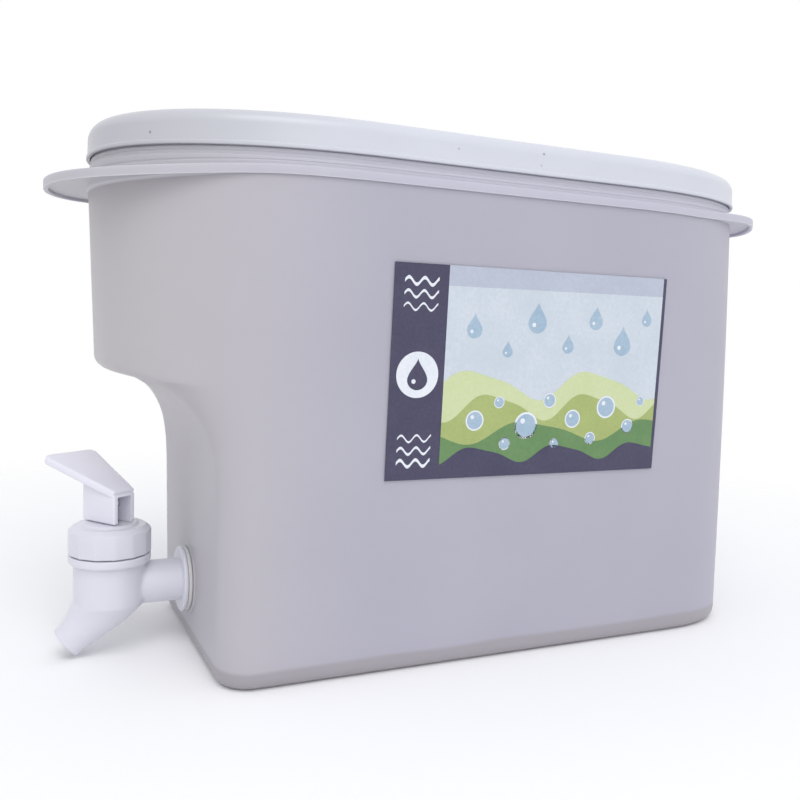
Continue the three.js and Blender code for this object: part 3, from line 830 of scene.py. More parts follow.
@dataclass
class Tank:
    """The frosted tank: stepped tap end, flange with grip ears, collar, rim and a hollow inside."""

    finishes: Finishes
    lid_plan: Plan = Plan(127.9, 57.9, 82.3, 2.21)
    foot_plan: Plan = Plan(121.0, 50.5, 44.0, 3.06)
    wall_setback: float = 0.6
    wall: float = 2.2
    foot_round: float = 4.5
    foot_rim: float = 7.0
    foot_recess: float = 1.0
    floor_height: float = 3.2
    floor_round: float = 4.0
    wall_foot: float = 93.5
    wall_high: float = 94.7
    corner_radius: float = 11.0
    least_corner_share: float = 0.25
    notch_top: float = 95.0
    notch_fillet: float = 25.6
    notch_drop: float = 29.0
    notch_edge: float = 4.5
    nose_lift: float = 1.8
    nose_from: float = 12.0
    nose_to: float = 30.0
    step_end: float = -60.0
    ease_below: float = 4.0
    ease_above: float = 8.0
    easing: tuple[tuple[float, int], ...] = ((30, 6), (34, 4), (38, 6), (41, 10), (43, 16), (45, 30))
    flange_low: float = 157.4
    flange_top: float = 160.2
    flange_plate: float = 1.8
    flange_lip: float = 1.6
    flange_proud: float = 0.8
    # how high the painted highlight reaches up the lip's outer face
    flange_fillet: float = 1.3
    lip_highlight_height: float = 0.45
    flange_margin: float = 0.1
    ear_tip: float = 141.0
    ear_root: float = 84.0
    ear_root_run: float = 26.0
    ear_half_width: float = 38.0
    bend_from: float = 74.0
    tap_end_drop: float = 3.2
    far_end_rise: float = 1.7
    far_bend_to: float = 124.0
    far_tip_drop: float = 1.5
    collar_step: float = 162.4
    collar_top: float = 164.7
    rim_top: float = 172.3
    rim_inset: float = 1.0
    rim_depth: float = 4.0
    collar_inset: float = 0.3
    shelf_inset: float = 0.7
    groove_depth: float = 0.16
    groove_at: float = 1.15
    groove_half: float = 0.25
    pad_radius: float = 12.2
    pad_face: float = 94.25
    pad_depth: float = 3.05
    hole_radius: float = 8.0
    wall_top: float = 151.0
    end_inset: float = 6.0
    cap_steps: int = 60
    shared_steps: int = 22
    side_steps: int = 20

    def plan_at(self, height: float) -> Plan:
        """Returns the outer wall's plan at a height."""
        return self.foot_plan.mixed(self.top_plan, min(height / self.flange_low, 1))

    @property
    def top_plan(self) -> Plan:
        """The outer wall's plan from the flange up."""
        return self.lid_plan.inset(self.wall_setback)

    @property
    def step_low(self) -> float:
        """The height where the step's hollow fillet begins."""
        return self.notch_top - self.notch_drop

    @property
    def step_high(self) -> float:
        """The height where the overhang's edge round ends."""
        return self.notch_top + self.notch_edge

    def tap_wall_at(self, height: float) -> float:
        """Returns how far the flat tap wall stands from the middle at a height."""
        return self.wall_foot + (self.wall_high - self.wall_foot) * height / self.notch_top

    def wall_curve(self, side: np.ndarray, wall_at: float, radius: float) -> tuple[int, np.ndarray]:
        """Cuts a quarter outline off with the flat tap wall and rounds the corner.

        Args:
            side: the quarter outline, from the end of the long side to the nose.
            wall_at: where the flat wall stands.
            radius: the corner's radius.

        Returns:
            The place on the quarter where the corner begins, and the points from there to the middle
            of the wall.
        """
        along = side[2:] - side[:-2]
        along /= np.linalg.norm(along, axis=1)[:, None]
        centres = side[1:-1] + radius * np.column_stack((along[:, 1], -along[:, 0]))
        index = int(np.argmax(centres[:, 0] >= wall_at - radius))
        centre, touch = centres[index], side[index + 1]
        first = math.atan2(touch[1] - centre[1], touch[0] - centre[0])
        angles = np.linspace(first, 0, ARC_STEPS + 1)
        across, ahead = radius * np.sin(angles), radius * np.cos(angles)
        arc = np.column_stack((wall_at - radius + ahead, centre[1] + across))
        return index + 1, np.vstack((side[index + 1], arc[1:], [(wall_at, 0)]))

    def around(self, far: np.ndarray, tap: np.ndarray) -> np.ndarray:
        """Returns a whole outline from its two end quarters.

        Args:
            far: the quarter at the far end, from the long side to the nose.
            tap: the quarter at the tap end, in the same way.

        Returns:
            Points in order round the outline, with the long sides divided.
        """
        across = np.linspace(0, 1, self.side_steps + 1)[1:-1, None]
        back = far[0] + (tap[0] * (-1, 1) - far[0]) * across
        front = tap[0] * (-1, -1) + (far[0] * (1, -1) - tap[0] * (-1, -1)) * across
        parts = (far * (1, -1), far[-2::-1], back, tap * (-1, 1), tap[-2::-1] * (-1, -1), front)
        return np.vstack(parts)

    def lifted(self, ring: Ring) -> Ring:
        """Raises a ring towards the nose of the overhang, less and less up the wall.

        Args:
            ring: the ring, which is changed.

        Returns:
            The same ring.
        """
        out = smooth_share(-ring[:, 0], self.wall_high + self.nose_from, self.wall_high + self.nose_to)
        ring[:, 2] += self.nose_lift * out * (1 - smooth_share(ring[:, 2], self.step_high, self.wall_top))
        return ring

    def at_height(self, outline: np.ndarray, height: np.ndarray | float) -> Ring:
        """Returns an outline as a ring in space."""
        return np.column_stack((outline, np.broadcast_to(height, len(outline))))

    def plain_ring(self, plan: Plan, height: float) -> Ring:
        """Returns a ring that is the same at both ends."""
        cap = spread(plan.cap_curve(), self.cap_steps)
        return self.at_height(self.around(cap, cap), height)

    def ring(self, height: float, inset: float, share: float) -> Ring:
        """Makes a ring of the wall.

        Args:
            height: its height.
            inset: how far inside the outer face it lies.
            share: its tap end, from the flat wall at 0 to the full cap at 1.

        Returns:
            The ring, lifted at the nose.
        """
        side = self.plan_at(height).inset(inset).cap_curve()
        places = spread_places(side, self.cap_steps)
        cap = picked(side, places)
        radius = max(self.corner_radius - inset, self.corner_radius * self.least_corner_share)
        corner, wall = self.wall_curve(side, self.tap_wall_at(height) - inset, radius)
        shared = spread_places(side[: corner + 1], self.shared_steps)
        nose = corner + spread_places(side[corner:], self.cap_steps - self.shared_steps)
        split = np.concatenate((shared, nose[1:]))
        if share >= 1:
            even = smooth_share(height, self.step_high, self.wall_top)
            tap = picked(side, split + (places - split) * even)
        else:
            tap = picked(side, split)
            flat = spread(wall, self.cap_steps - self.shared_steps)
            tap[self.shared_steps :] = flat + (tap[self.shared_steps :] - flat) * share
        return self.lifted(self.at_height(self.around(cap, tap), height))

    def level_rings(self, heights: Iterable[float], inset: float, share: float) -> list[Ring]:
        """Returns the rings at some heights of the wall."""
        return [self.ring(float(height), inset, share) for height in heights]

    def foot_rings(self, radius: float, low: float, inset: float) -> list[Ring]:
        """Returns the rings up the round at the foot of the wall, outside or inside."""
        spots = [(low + radius * (1 - cosine), inset + radius * (1 - sine)) for sine, cosine in quarter(8)]
        return [self.ring(*spot, 0) for spot in spots]

    def notch_rings(self, inset: float) -> list[Ring]:
        """Makes the rings up the step: a hollow fillet, then the rounded edge of the overhang.

        Args:
            inset: how far inside the outer face they lie.

        Returns:
            The rings from below upwards.
        """
        overhang = self.plan_at(self.notch_top).half_length - self.tap_wall_at(self.notch_top)
        hollow, drop, edge = self.notch_fillet + inset, self.notch_drop + inset, self.notch_edge - inset
        low, high = self.step_low - inset, self.step_high
        spots = [(low + drop * sine, hollow * (1 - cosine)) for sine, cosine in quarter(20)]
        spots += [(high - edge * cosine, overhang - edge * (1 - sine)) for sine, cosine in quarter(10)]
        return [self.ring(height, inset, depth / overhang) for height, depth in spots]

    def flange_outline(self) -> np.ndarray:
        """Works out the flange's outer edge.

        Returns:
            One point for each point of the wall's outline.
        """
        wall = spread(self.top_plan.cap_curve(), self.cap_steps)
        proud = self.top_plan.inset(-self.flange_proud)
        side = proud.cap_curve()
        side = side[side[:, 0] < self.ear_root]
        along = (side[-1] - side[-2]) / np.linalg.norm(side[-1] - side[-2])
        corner = (self.ear_tip, self.ear_half_width)
        pulls = [side[-1], side[-1] + along * self.ear_root_run, corner, (self.ear_tip, 0)]
        t = np.linspace(0, 1, EAR_STEPS + 1)[:, None]
        weights = ((1 - t) ** 3, 3 * t * (1 - t) ** 2, 3 * t * t * (1 - t), t**3)
        ear = sum(weight * np.array(pull) for weight, pull in zip(weights, pulls))
        run, length = lengths_along(ear), lengths_along(wall)
        root = float(np.interp(self.ear_root, wall[:, 0], length))
        points = []
        for place, reach in zip(wall, length):
            if reach <= root:
                points.append((place[0], proud.side_at(place[0])))
            else:
                share = (reach - root) / (length[-1] - root) * run[-1]
                points.append([float(np.interp(share, run, ear[:, axis])) for axis in (0, 1)])
        outline = np.array(points)
        return self.around(outline, outline)

    def bend_at(self, x: np.ndarray | float) -> np.ndarray | float:
        """Works out how far the flange bends up.

        Args:
            x: the place along the jug's length.

        Returns:
            The rise in millimetres, below 0 where it bends down.
        """
        down = self.tap_end_drop * smooth_share(-np.asarray(x), self.bend_from, self.ear_tip)
        rise = self.far_end_rise * smooth_share(x, self.bend_from, self.far_bend_to)
        return rise - down - self.far_tip_drop * smooth_share(x, self.far_bend_to, self.ear_tip)

    def flange_rings(self) -> list[Ring]:
        """Makes the rings over the flange.

        Returns:
            The rings over its underside with the turned-down lip, its edge and its top.
        """
        wall = self.plain_ring(self.top_plan, 0)[:, :2]
        edge = self.flange_outline()
        gap = np.linalg.norm(edge - wall, axis=1)
        out = (edge - wall) / gap[:, None]
        hollow = smooth_share(gap, self.flange_lip + 0.4, self.flange_lip + 3)
        under = self.flange_low + (self.flange_top - self.flange_plate - self.flange_low) * hollow
        inside = np.maximum(gap - self.flange_lip, 0.2)

        def ring(reach: np.ndarray | float, height: np.ndarray | float) -> Ring:
            """Returns the ring at a reach from the wall and a height before the bend."""
            outline = wall + out * np.broadcast_to(reach, len(wall))[:, None]
            return self.at_height(outline, height + self.bend_at(outline[:, 0]))

        # the small steps below keep the rings in order where the lip fades out
        fillet = self.flange_fillet * hollow
        filleted = np.minimum(fillet, inside)
        rows = [ring(0, under - fillet - 0.02)]
        for sine, cosine in quarter(4)[1:]:
            rows.append(ring(filleted * (1 - cosine), under - fillet * (1 - sine) - 0.01))
        rows += [
            ring(filleted + (inside - filleted) * 0.5, under),
            ring(inside - 0.12 * hollow, under),
            ring(inside, under - 0.15 * hollow),
            ring(inside, self.flange_low + 0.25 * hollow),
            ring(inside + 0.08, self.flange_low + 0.06 * hollow),
            ring(inside + 0.25, np.full(len(wall), self.flange_low)),
        ]
        side = [
            (0.45, self.flange_low, 0), (0, self.flange_low, 0.4),
            (0, self.flange_top, 0.55), (0.62, self.flange_top, 0),
        ]
        rows += [ring(gap - inset, height) for inset, height in rounded_path(side, 5)]
        return rows

    def groove(self, inset: float, foot: float) -> list[Corner]:
        """Returns the corners of a fine groove in the collar, over the foot of its band."""
        at, half, soft = foot + self.groove_at, self.groove_half, 0.1
        return [(inset, at - half, soft), (inset + self.groove_depth, at, soft), (inset, at + half, soft)]

    def collar_rings(self) -> list[Ring]:
        """Makes the rings up the collar and over the rim.

        Returns:
            The rings up the two bands, each with a fine groove, and down inside the rim.
        """
        low, step, top = self.flange_top, self.collar_step, self.collar_top
        band, shelf, rim = self.collar_inset, self.shelf_inset, self.rim_inset
        corners = [
            (-0.1, low, 0), (band, low, 0.35), *self.groove(band, low), (band, step, 0.15),
            (shelf, step + 0.1, 0.12), *self.groove(shelf, step), (shelf, top, 0.3),
            (rim, top + 0.1, 0.12), (rim, self.rim_top, 0.4),
            (self.wall, self.rim_top, 0.4), (self.wall, self.rim_top - self.rim_depth, 0),
        ]
        rings = []
        for inset, height in rounded_path(corners, 3):
            ring = self.plain_ring(self.top_plan.inset(inset), height)
            fade = min(max((step - height) / (step - low), 0), 1)
            ring[:, 2] += self.bend_at(ring[:, 0]) * fade
            rings.append(ring)
        return rings

    def shell_rings(self) -> list[Ring]:
        """Makes all the rings of the tank.

        Returns:
            The rings from its underside, over the rim, to its floor inside.
        """
        recess = self.foot_round + self.foot_rim
        under = rounded_path([
            (recess + self.end_inset, self.foot_recess, 0), (recess, self.foot_recess, 0.4),
            (recess, 0, 0.3), (self.foot_round + 1, 0, 0),
        ])
        floor, wall = self.floor_height, self.wall
        return [
            *(self.ring(height, inset, 0) for inset, height in under),
            *self.foot_rings(self.foot_round, 0, 0),
            *self.level_rings(np.linspace(self.foot_round, self.step_low, 9)[1:-1], 0, 0),
            *self.notch_rings(0),
            *self.level_rings(np.linspace(self.step_high, self.wall_top, 8)[1:], 0, 1),
            *self.flange_rings(),
            *self.collar_rings(),
            *self.level_rings(np.linspace(self.flange_low, self.step_high, 7)[:-1], wall, 1),
            *self.notch_rings(wall)[::-1],
            *self.level_rings(np.linspace(self.step_low, floor + self.floor_round, 7)[1:-1], wall, 0),
            *self.foot_rings(self.floor_round, floor, wall)[::-1],
            self.ring(floor, wall + self.floor_round + self.end_inset, 0),
        ]

    def eased(self, mesh: Mesh) -> Mesh:
        """Runs the step out softly into both long sides.

        Args:
            mesh: the shell, which is changed.

        Returns:
            The same mesh.
        """
        low, high = self.step_low - self.ease_below, self.step_high + self.ease_above
        step = [v for v in mesh.verts if low < v.co.z < high and v.co.x < self.step_end]
        for side, passes in self.easing:
            near = [v for v in step if abs(v.co.y) > side]
            for _ in range(passes):
                bmesh.ops.smooth_vert(
                    mesh, verts=near, factor=0.5, use_axis_x=True, use_axis_y=True, use_axis_z=True
                )
        return mesh

    def build(self) -> None:
        """Builds the tank with the pad and the hole for the tap."""
        piece = solid(self.eased(skin_of(self.shell_rings())), "tank_shell")
        place, depth = Matrix.Translation((-self.pad_face, 0, 0)), self.pad_depth
        pad = [(0, 0, 0), (self.pad_radius, 0, 0.5), (self.pad_radius, depth, 0.4), (0, depth, 0)]
        join(piece, along_shank(lathe(pad)), Joining.ADD, place)
        join(piece, along_shank(slug(self.hole_radius, -3, depth + 3)), Joining.CUT, place)
        materials = (self.finishes.tank, self.finishes.collar, self.finishes.edge)
        seat(piece, materials, "root", "frosted_plastic", "tank")
        wall, collar, edge = range(len(materials))
        # above the flange's underside the lighter collar copy paints the light through the thin plastic
        for face in piece.data.polygons:
            rise = face.center.z / MM - self.flange_low - self.bend_at(face.center.x / MM)
            outward = face.normal.dot(Vector((*face.center.xy, 0))) > 0 and abs(face.normal.z) < UPRIGHT
            # painted highlight: the lowest band of the lip's outer face takes the lightest copy
            upper = edge if outward and rise < self.lip_highlight_height else collar
            face.material_index = wall if rise < -self.flange_margin else upper


# The lid


@dataclass
class Lid:
    """The white lid: a plate with a rounded edge, a skirt with a bead and a plug ring."""

    finishes: Finishes
    tank: Tank
    low: float = 165.0
    top: float = 175.8
    fillet: float = 4.4
    plate: float = 1.8
    skirt: float = 1.3
    bead: float = 1.2
    bead_inset: float = 0.35
    draft: float = 0.15
    plug_low: float = 168.0
    plug_inset: float = 3.2
    plug_wall: float = 1.4
    hollow_steps: int = 6
    under_inset: float = 8.0
    top_inset: float = 10.0

    def path(self) -> list[Pair]:
        """Works out the lid's profile.

        Returns:
            Pairs of inset and height, from under the plate, over the edge, to its top.
        """
        under = self.top - self.plate
        round_low = self.top - self.fillet
        hollow = self.fillet - self.plate
        reach = self.skirt + hollow - self.plug_inset
        meets = round_low + math.sqrt(hollow**2 - reach**2)
        inner = self.plug_inset + self.plug_wall
        path = rounded_path([
            (inner + self.under_inset, under, 0), (inner, under, 0.7), (inner, self.plug_low, 0.5),
            (self.plug_inset, self.plug_low, 0.6), (self.plug_inset, meets, 0),
        ])
        first = math.asin(reach / hollow)
        for share in np.linspace(0, 1, self.hollow_steps + 1)[1:].tolist():
            turn = first + (math.pi / 2 - first) * share
            path.append((self.skirt + hollow * (1 - math.sin(turn)), round_low + hollow * math.cos(turn)))
        side, bead = self.bead_inset + self.draft, self.low + self.bead
        path += rounded_path([
            (self.skirt, round_low - 0.5, 0), (self.skirt, self.low, 0.35), (0, self.low, 0.35),
            (0, bead - 0.1, 0.3), (self.bead_inset, bead + 0.15, 0.25), (side, round_low - 0.3, 0),
        ])
        for sine, cosine in quarter(12):
            path.append((side + self.fillet * (1 - cosine), round_low + self.fillet * sine))
        path.append((side + self.fillet + self.top_inset, self.top))
        return path

    def build(self) -> None:
        """Builds the lid."""
        plan = self.tank.lid_plan
        rings = [self.tank.plain_ring(plan.inset(inset), height) for inset, height in self.path()]
        seat(solid(skin_of(rings), "lid_cover"), [self.finishes.lid], "lid", "lid_plastic", "lid")


# The label


def full_turn(steps: int) -> list[float]:
    """Returns the angles of a whole turn in equal steps."""
    return [step / steps * 2 * math.pi for step in range(steps)]


@dataclass
class Label:
    """The printed film on the near long side, with plain bands of waves, bubbles and drops."""

    tank: Tank
    left: float = -43.3
    right: float = 64.0
    low: float = 65.0
    high: float = 134.0
    gap: float = 0.25
    thickness: float = 0.3
    layer: float = 0.03
    panel_width: float = 19.0
    panel_margin: float = 3.5
    strip: float = 6.5
    edge: float = 1.4
    round_steps: int = 48
    wave_steps: int = 72
    cut_x: float = 3.0
    cut_z: float = 8.0
    badge_height: float = 99.0
    bubbles: tuple[Corner, ...] = (  # each as x, z and radius
        (-12, 84, 3.4), (-3, 90, 2.0), (8, 82, 4.6), (17, 90.5, 2.6), (27, 84, 3.2), (35, 77, 2.2),
        (41, 88, 4.0), (51, 81, 2.6), (56, 90, 1.8), (0, 76, 2.2), (20, 75.5, 1.9),
    )
    drops: tuple[Corner, ...] = (  # each as x, z and size
        (-14, 114, 3.0), (-1, 107, 2.0), (10, 117, 3.8), (23, 109, 2.4), (34, 118, 3.0), (46, 110, 3.8),
        (56, 119, 2.2),
    )
    inks: tuple[Ink, ...] = tuple(Ink)
    mesh: Mesh = field(default_factory=bmesh.new)

    def face(self, outline: Iterable[Pair], ink: Ink, layer: int) -> None:
        """Adds a flat printed shape.

        Args:
            outline: the shape's corners, as x and z on the wall.
            ink: its ink.
            layer: how many layers lie under it; it is kept as y until the print is bent.
        """
        made = self.mesh.faces.new([self.mesh.verts.new((x, -layer, z)) for x, z in outline])
        made.material_index = self.inks.index(ink)

    def box(self, left: float, right: float, low: float, high: float, ink: Ink) -> None:
        """Prints a rectangle on the bare film."""
        self.face([(left, low), (right, low), (right, high), (left, high)], ink, 1)

    def disc(self, x: float, z: float, radius: float, ink: Ink, layer: int) -> None:
        """Prints a disc."""
        turns = full_turn(self.round_steps)
        self.face([(x + radius * math.cos(turn), z + radius * math.sin(turn)) for turn in turns], ink, layer)

    def bubble(self, x: float, z: float, radius: float) -> None:
        """Prints a bubble with a rim, a clear middle and a glint.

        Args:
            x: its middle along the label.
            z: its middle's height.
            radius: its radius.
        """
        self.disc(x, z, radius, Ink.WHITE, 4)
        self.disc(x, z, radius * 0.84, Ink.DROP, 5)
        self.disc(x - radius * 0.3, z + radius * 0.34, radius * 0.2, Ink.WHITE, 6)

    def drop(self, x: float, z: float, size: float, ink: Ink, layer: int) -> None:
        """Prints a water drop with a glint.

        Args:
            x: its middle along the label.
            z: its middle's height.
            size: half of its width, about.
            ink: its ink.
            layer: how many layers lie under it.
        """
        outline = []
        for turn in full_turn(self.round_steps):
            pull = ((1 + math.sin(turn)) / 2) ** 4
            across, rise = math.cos(turn) * (1 - pull), math.sin(turn) + 0.75 * pull
            outline.append((x + size * across, z + size * rise))
        self.face(outline, ink, layer)
        self.disc(x - size * 0.35, z - size * 0.25, size * 0.2, Ink.WHITE, layer + 1)

    def band(self, wave: tuple[float, float, float, float], ink: Ink, layer: int) -> None:
        """Prints a band of water from the label's lower edge up to a wave.

        Args:
            wave: the crest's mean height, its rise, its length and where it starts.
            ink: the band's ink.
            layer: how many layers lie under it.
        """
        height, rise, length, start = wave
        left, right = self.left + self.panel_width, self.right - self.edge
        outline = [(left, self.low)]
        for x in np.linspace(left, right, self.wave_steps + 1).tolist():
            turn = 2 * math.pi * (x - start) / length
            outline.append((x, height + rise * (math.sin(turn) + 0.25 * math.sin(2 * turn + 0.6))))
        self.face([*outline, (right, self.low)], ink, layer)

    def ripple(self, left: float, right: float, height: float, width: float) -> None:
        """Prints a wavy line.

        Args:
            left: where it starts along the label.
            right: where it ends.
            height: its mean height.
            width: its width.
        """
        turns = 2 * math.pi / 5.5
        places = np.linspace(left, right, self.round_steps + 1).tolist()
        upper = [(x, height + 1.1 * math.sin((x - left) * turns) + width / 2) for x in places]
        self.face(upper + [(x, z - width) for x, z in upper[::-1]], Ink.WHITE, 2)

    def design(self) -> None:
        """Prints the whole design, still flat."""
        split, inner, top = self.left + self.panel_width, self.right - self.edge, self.high - self.strip
        self.box(split, inner, self.low, top, Ink.FIELD)
        self.box(split, inner, top, self.high, Ink.STRIP)
        self.box(self.left, split, self.low, self.high, Ink.NAVY)
        self.box(inner, self.right, self.low, self.high, Ink.NAVY)
        for row in range(3):
            for height, width in ((128.5 - 4 * row, 1.1 - 0.2 * row), (78.5 - 4 * row, 0.7 + 0.2 * row)):
                self.ripple(self.left + self.panel_margin, split - self.panel_margin, height, width)
        badge = self.left + self.panel_width / 2
        self.disc(badge, self.badge_height, 7.4, Ink.WHITE, 2)
        self.drop(badge, self.badge_height - 1.2, 3.7, Ink.NAVY, 3)
        self.band((96.0, 4.6, 47.0, split), Ink.SPRAY, 2)
        self.band((88.5, 4.2, 39.0, split + 9), Ink.MEADOW, 3)
        self.band((80.0, 3.4, 52.0, split + 21), Ink.MOSS, 4)
        self.band((72.5, 2.6, 33.0, split + 5), Ink.NAVY, 5)
        for bubble in self.bubbles:
            self.bubble(*bubble)
        for drop in self.drops:
            self.drop(*drop, Ink.DROP, 2)

    def on_wall(self, vertex: bmesh.types.BMVert, out: float) -> None:
        """Moves a vertex to a distance out from the tank's wall."""
        vertex.co.y = -self.tank.plan_at(vertex.co.z).inset(-out).side_at(vertex.co.x)

    def wrap(self) -> None:
        """Cuts the print into strips, bends it round the wall and gives it the film's thickness."""
        mesh = self.mesh
        across = np.arange(self.left + self.cut_x, self.right, self.cut_x).tolist()
        upright = np.arange(self.low + self.cut_z, self.high, self.cut_z).tolist()
        cuts = [((x, 0, 0), (1, 0, 0)) for x in across] + [((0, 0, z), (0, 0, 1)) for z in upright]
        for place, normal in cuts:
            everything = mesh.verts[:] + mesh.edges[:] + mesh.faces[:]
            bmesh.ops.bisect_plane(mesh, geom=everything, plane_co=place, plane_no=normal)
        for face in mesh.faces:
            if face.normal.y > 0:
                face.normal_flip()
        bmesh.ops.remove_doubles(mesh, verts=mesh.verts, dist=WELD)
        base = [face for face in mesh.faces if face.calc_center_median().y > -1.5]  # the first layer
        for vertex in mesh.verts:
            self.on_wall(vertex, self.gap + self.thickness + self.layer * (-vertex.co.y - 1))
        for item in bmesh.ops.extrude_face_region(mesh, geom=base, use_keep_orig=True)["geom"]:
            if isinstance(item, bmesh.types.BMVert):
                self.on_wall(item, self.gap)
            elif isinstance(item, bmesh.types.BMFace):
                item.normal_flip()

    def build(self) -> None:
        """Builds the film and its print."""
        self.design()
        self.wrap()
        piece = object_of(self.mesh, "label_film")
        seat(piece, [PrintedFilm(ink).build() for ink in self.inks], "root", "label_film", "label")


# The tap


@dataclass
class Tap:
    """The push tap: body, shank fastening, bonnet nut, valve and lever, built about its own axis."""

    finishes: Finishes
    axis: float = 120.3
    cup_radius: float = 11.75
    cup_bottom: float = 18.05
    cup_top: float = 33.0
    ring_low: float = 31.0
    ring_radius: float = 13.4
    ring_top: float = 34.7
    neck_radius: float = 11.1
    neck_top: float = 40.0
    chamber_radius: float = 9.0
    seat_height: float = 17.6
    seat_radius: float = 4.5
    shank_radius: float = 7.3
    bore_radius: float = 4.75
    stub_radius: float = 7.7
    stub_end: float = 40.8
    thread_from: float = 31.4
    thread_pitch: float = 1.6
    thread_depth: float = 0.35
    flange_at: float = 23.15
    flange_radius: float = 11.2
    flange_thickness: float = 1.4
    spout_reach: float = 14.15
    spout_tip: float = 4.75
    spout_radius: float = 5.7
    spout_bore: float = 4.35
    spout_fall: float = 40.0
    spout_overlap: float = 0.5
    spout_steps: int = 14
    washer_gap: float = 8.0
    bonnet_radius: float = 13.5
    bonnet_low: float = 35.1
    bonnet_top: float = 45.3
    bonnet_flats: int = 14
    flat_depth: float = 0.3
    swivel: float = 125.2
    pivot: float = 51.5
    coil_steps: int = 24
    voxel: float = 0.38
    blend_passes: int = 14

    @property
    def place(self) -> Matrix:
        """The move from the tap's own axis to its place on the jug."""
        return Matrix.Translation((-self.axis, 0, 0))

    @property
    def turned_place(self) -> Matrix:
        """The same move after the lever's swivel."""
        return self.place @ Matrix.Rotation(math.radians(self.swivel), 4, "Z")

    def spout(self, start: float, end: float, past: float = 0) -> Mesh:
        """Returns a bent, narrowing rod from inside the cup down to the spout's tip.

        Args:
            start: radius under the cup.
            end: radius at the tip.
            past: how far it goes on beyond the tip.

        Returns:
            A closed mesh.
        """
        level = math.pi / 2 - math.radians(self.spout_fall)
        first = Vector((0, 0, self.cup_bottom))
        last = Vector((-self.spout_reach, 0, self.spout_tip))
        circles = [(first + Vector((0, 0, self.spout_overlap)), start, 0.0)]
        for share in np.linspace(0, 1, self.spout_steps + 1).tolist():
            bent = math.sin(share * math.pi / 2)
            circles.append((first.lerp(last, share), start + (end - start) * bent, level * bent))
        if past:
            ahead = Vector((-math.sin(level), 0, -math.cos(level)))
            circles.append((last + ahead * past, end, level))
        angles = np.linspace(0, 2 * math.pi, 97)[:-1]
        rings = []
        for middle, radius, tilt in circles:
            across = radius * np.cos(angles)
            x, z = middle.x + across * math.cos(tilt), middle.z - across * math.sin(tilt)
            rings.append(np.column_stack((x, radius * np.sin(angles), z)))
        return skin_of(rings)

    def body(self) -> None:
        """Builds the tap's body: cup, spout and shank run into each other, with crisp collars added."""
        piece = solid(slug(self.cup_radius, self.cup_bottom, self.cup_top), "tap_casting")
        join(piece, self.spout(self.cup_radius, self.spout_radius), Joining.ADD)
        join(piece, along_shank(slug(self.shank_radius, 0, self.flange_at + 1)), Joining.ADD)
        remesh = piece.modifiers.new("even", "REMESH")
        remesh.mode = "VOXEL"
        remesh.voxel_size = self.voxel * MM
        smooth = piece.modifiers.new("blend", "SMOOTH")
        smooth.factor, smooth.iterations = 0.5, self.blend_passes
        settle(piece)
        neck = [
            (0, self.ring_low - 1, 0), (self.cup_radius - 0.5, self.ring_low - 1, 0),
            (self.cup_radius - 0.2, self.ring_low + 0.1, 0.2), (self.ring_radius, self.ring_low + 1.2, 0.9),
            (self.ring_radius, self.ring_top, 0.35), (self.neck_radius, self.ring_top, 0.15),
            (self.neck_radius, self.neck_top, 0.3), (0, self.neck_top, 0),
        ]
        join(piece, lathe(neck), Joining.ADD)
        join(piece, along_shank(lathe(self.stub())), Joining.ADD)
        chamber = [
            (0, self.seat_height - 2, 0), (self.seat_radius, self.seat_height - 2, 0),
            (self.seat_radius, self.seat_height, 0.3), (self.chamber_radius, self.seat_height, 0.3),
            (self.chamber_radius, self.neck_top - 0.5, 0), (self.chamber_radius + 0.6, self.neck_top + 1, 0),
            (0, self.neck_top + 1, 0),
        ]
        join(piece, lathe(chamber), Joining.CUT)
        join(piece, along_shank(slug(self.bore_radius, 0, self.stub_end + 2)), Joining.CUT)
        join(piece, self.spout(self.seat_radius, self.spout_bore, 3), Joining.CUT)
        move(piece, self.place)
        seat(piece, [self.finishes.tap], "root", "tap_plastic", "tap_body")

    def stub(self) -> list[Corner]:
        """Works out the profile of the shank's flange and its free end.

        Returns:
            The corners of the flange, the plain part, the thread and the end.
        """
        flange_end = self.flange_at + self.flange_thickness
        profile = [
            (0, self.flange_at - 2, 0), (self.shank_radius - 0.4, self.flange_at - 2, 0),
            (self.shank_radius - 0.1, self.flange_at, 0.2), (self.flange_radius, self.flange_at, 0.5),
            (self.flange_radius, flange_end, 0.4), (self.stub_radius, flange_end, 0.2),
        ]
        at = self.thread_from
        while at + self.thread_pitch < self.stub_end - 0.6:
            profile.append((self.stub_radius, at, 0.08))
            profile.append((self.stub_radius - self.thread_depth, at + self.thread_pitch / 2, 0.12))
            at += self.thread_pitch
        end = [(self.stub_radius, at, 0.08), (self.stub_radius, self.stub_end, 0.5), (0, self.stub_end, 0)]
        return profile + end

    def fastening(self) -> None:
        """Builds the two washers and the flanged hexagonal lock nut on the shank."""
        for name, node, outer, low, thickness in (
            ("outer_seal", "outer_washer", 10.9, 24.65, 1.3),
            ("inner_seal", "inner_washer", 12.0, 29.4, 1.5),
        ):
            ring = washer(self.washer_gap, outer, low, low + thickness, thickness * 0.3)
            piece = solid(along_shank(ring), name, self.place)
            seat(piece, [self.finishes.silicone], "root", "silicone", node)
        low, high, half_across, inner = 31.2, 38.2, 11.5, self.washer_gap
        corner = half_across / math.cos(math.pi / 6)
        nut = rod(corner, high - low, 6, laid((low + high) / 2, "Z"))
        piece = solid(soften(nut, 0.6, segments=3), "shank_nut")
        radius, top = 14, low + 1.6
        join(piece, lathe([(0, low, 0), (radius, low, 0.4), (radius, top, 0.4), (0, top, 0)]), Joining.ADD)
        bore = turned([
            (0, low - 1), (inner + 0.7, low - 1), (inner, low + 0.6),
            (inner, high - 0.6), (inner + 0.7, high + 1), (0, high + 1),
        ])
        join(piece, bore, Joining.CUT)
        move(piece, self.place @ laid(SHANK_HEIGHT, "Y"))
        seat(piece, [self.finishes.tap], "root", "tap_plastic", "lock_nut")

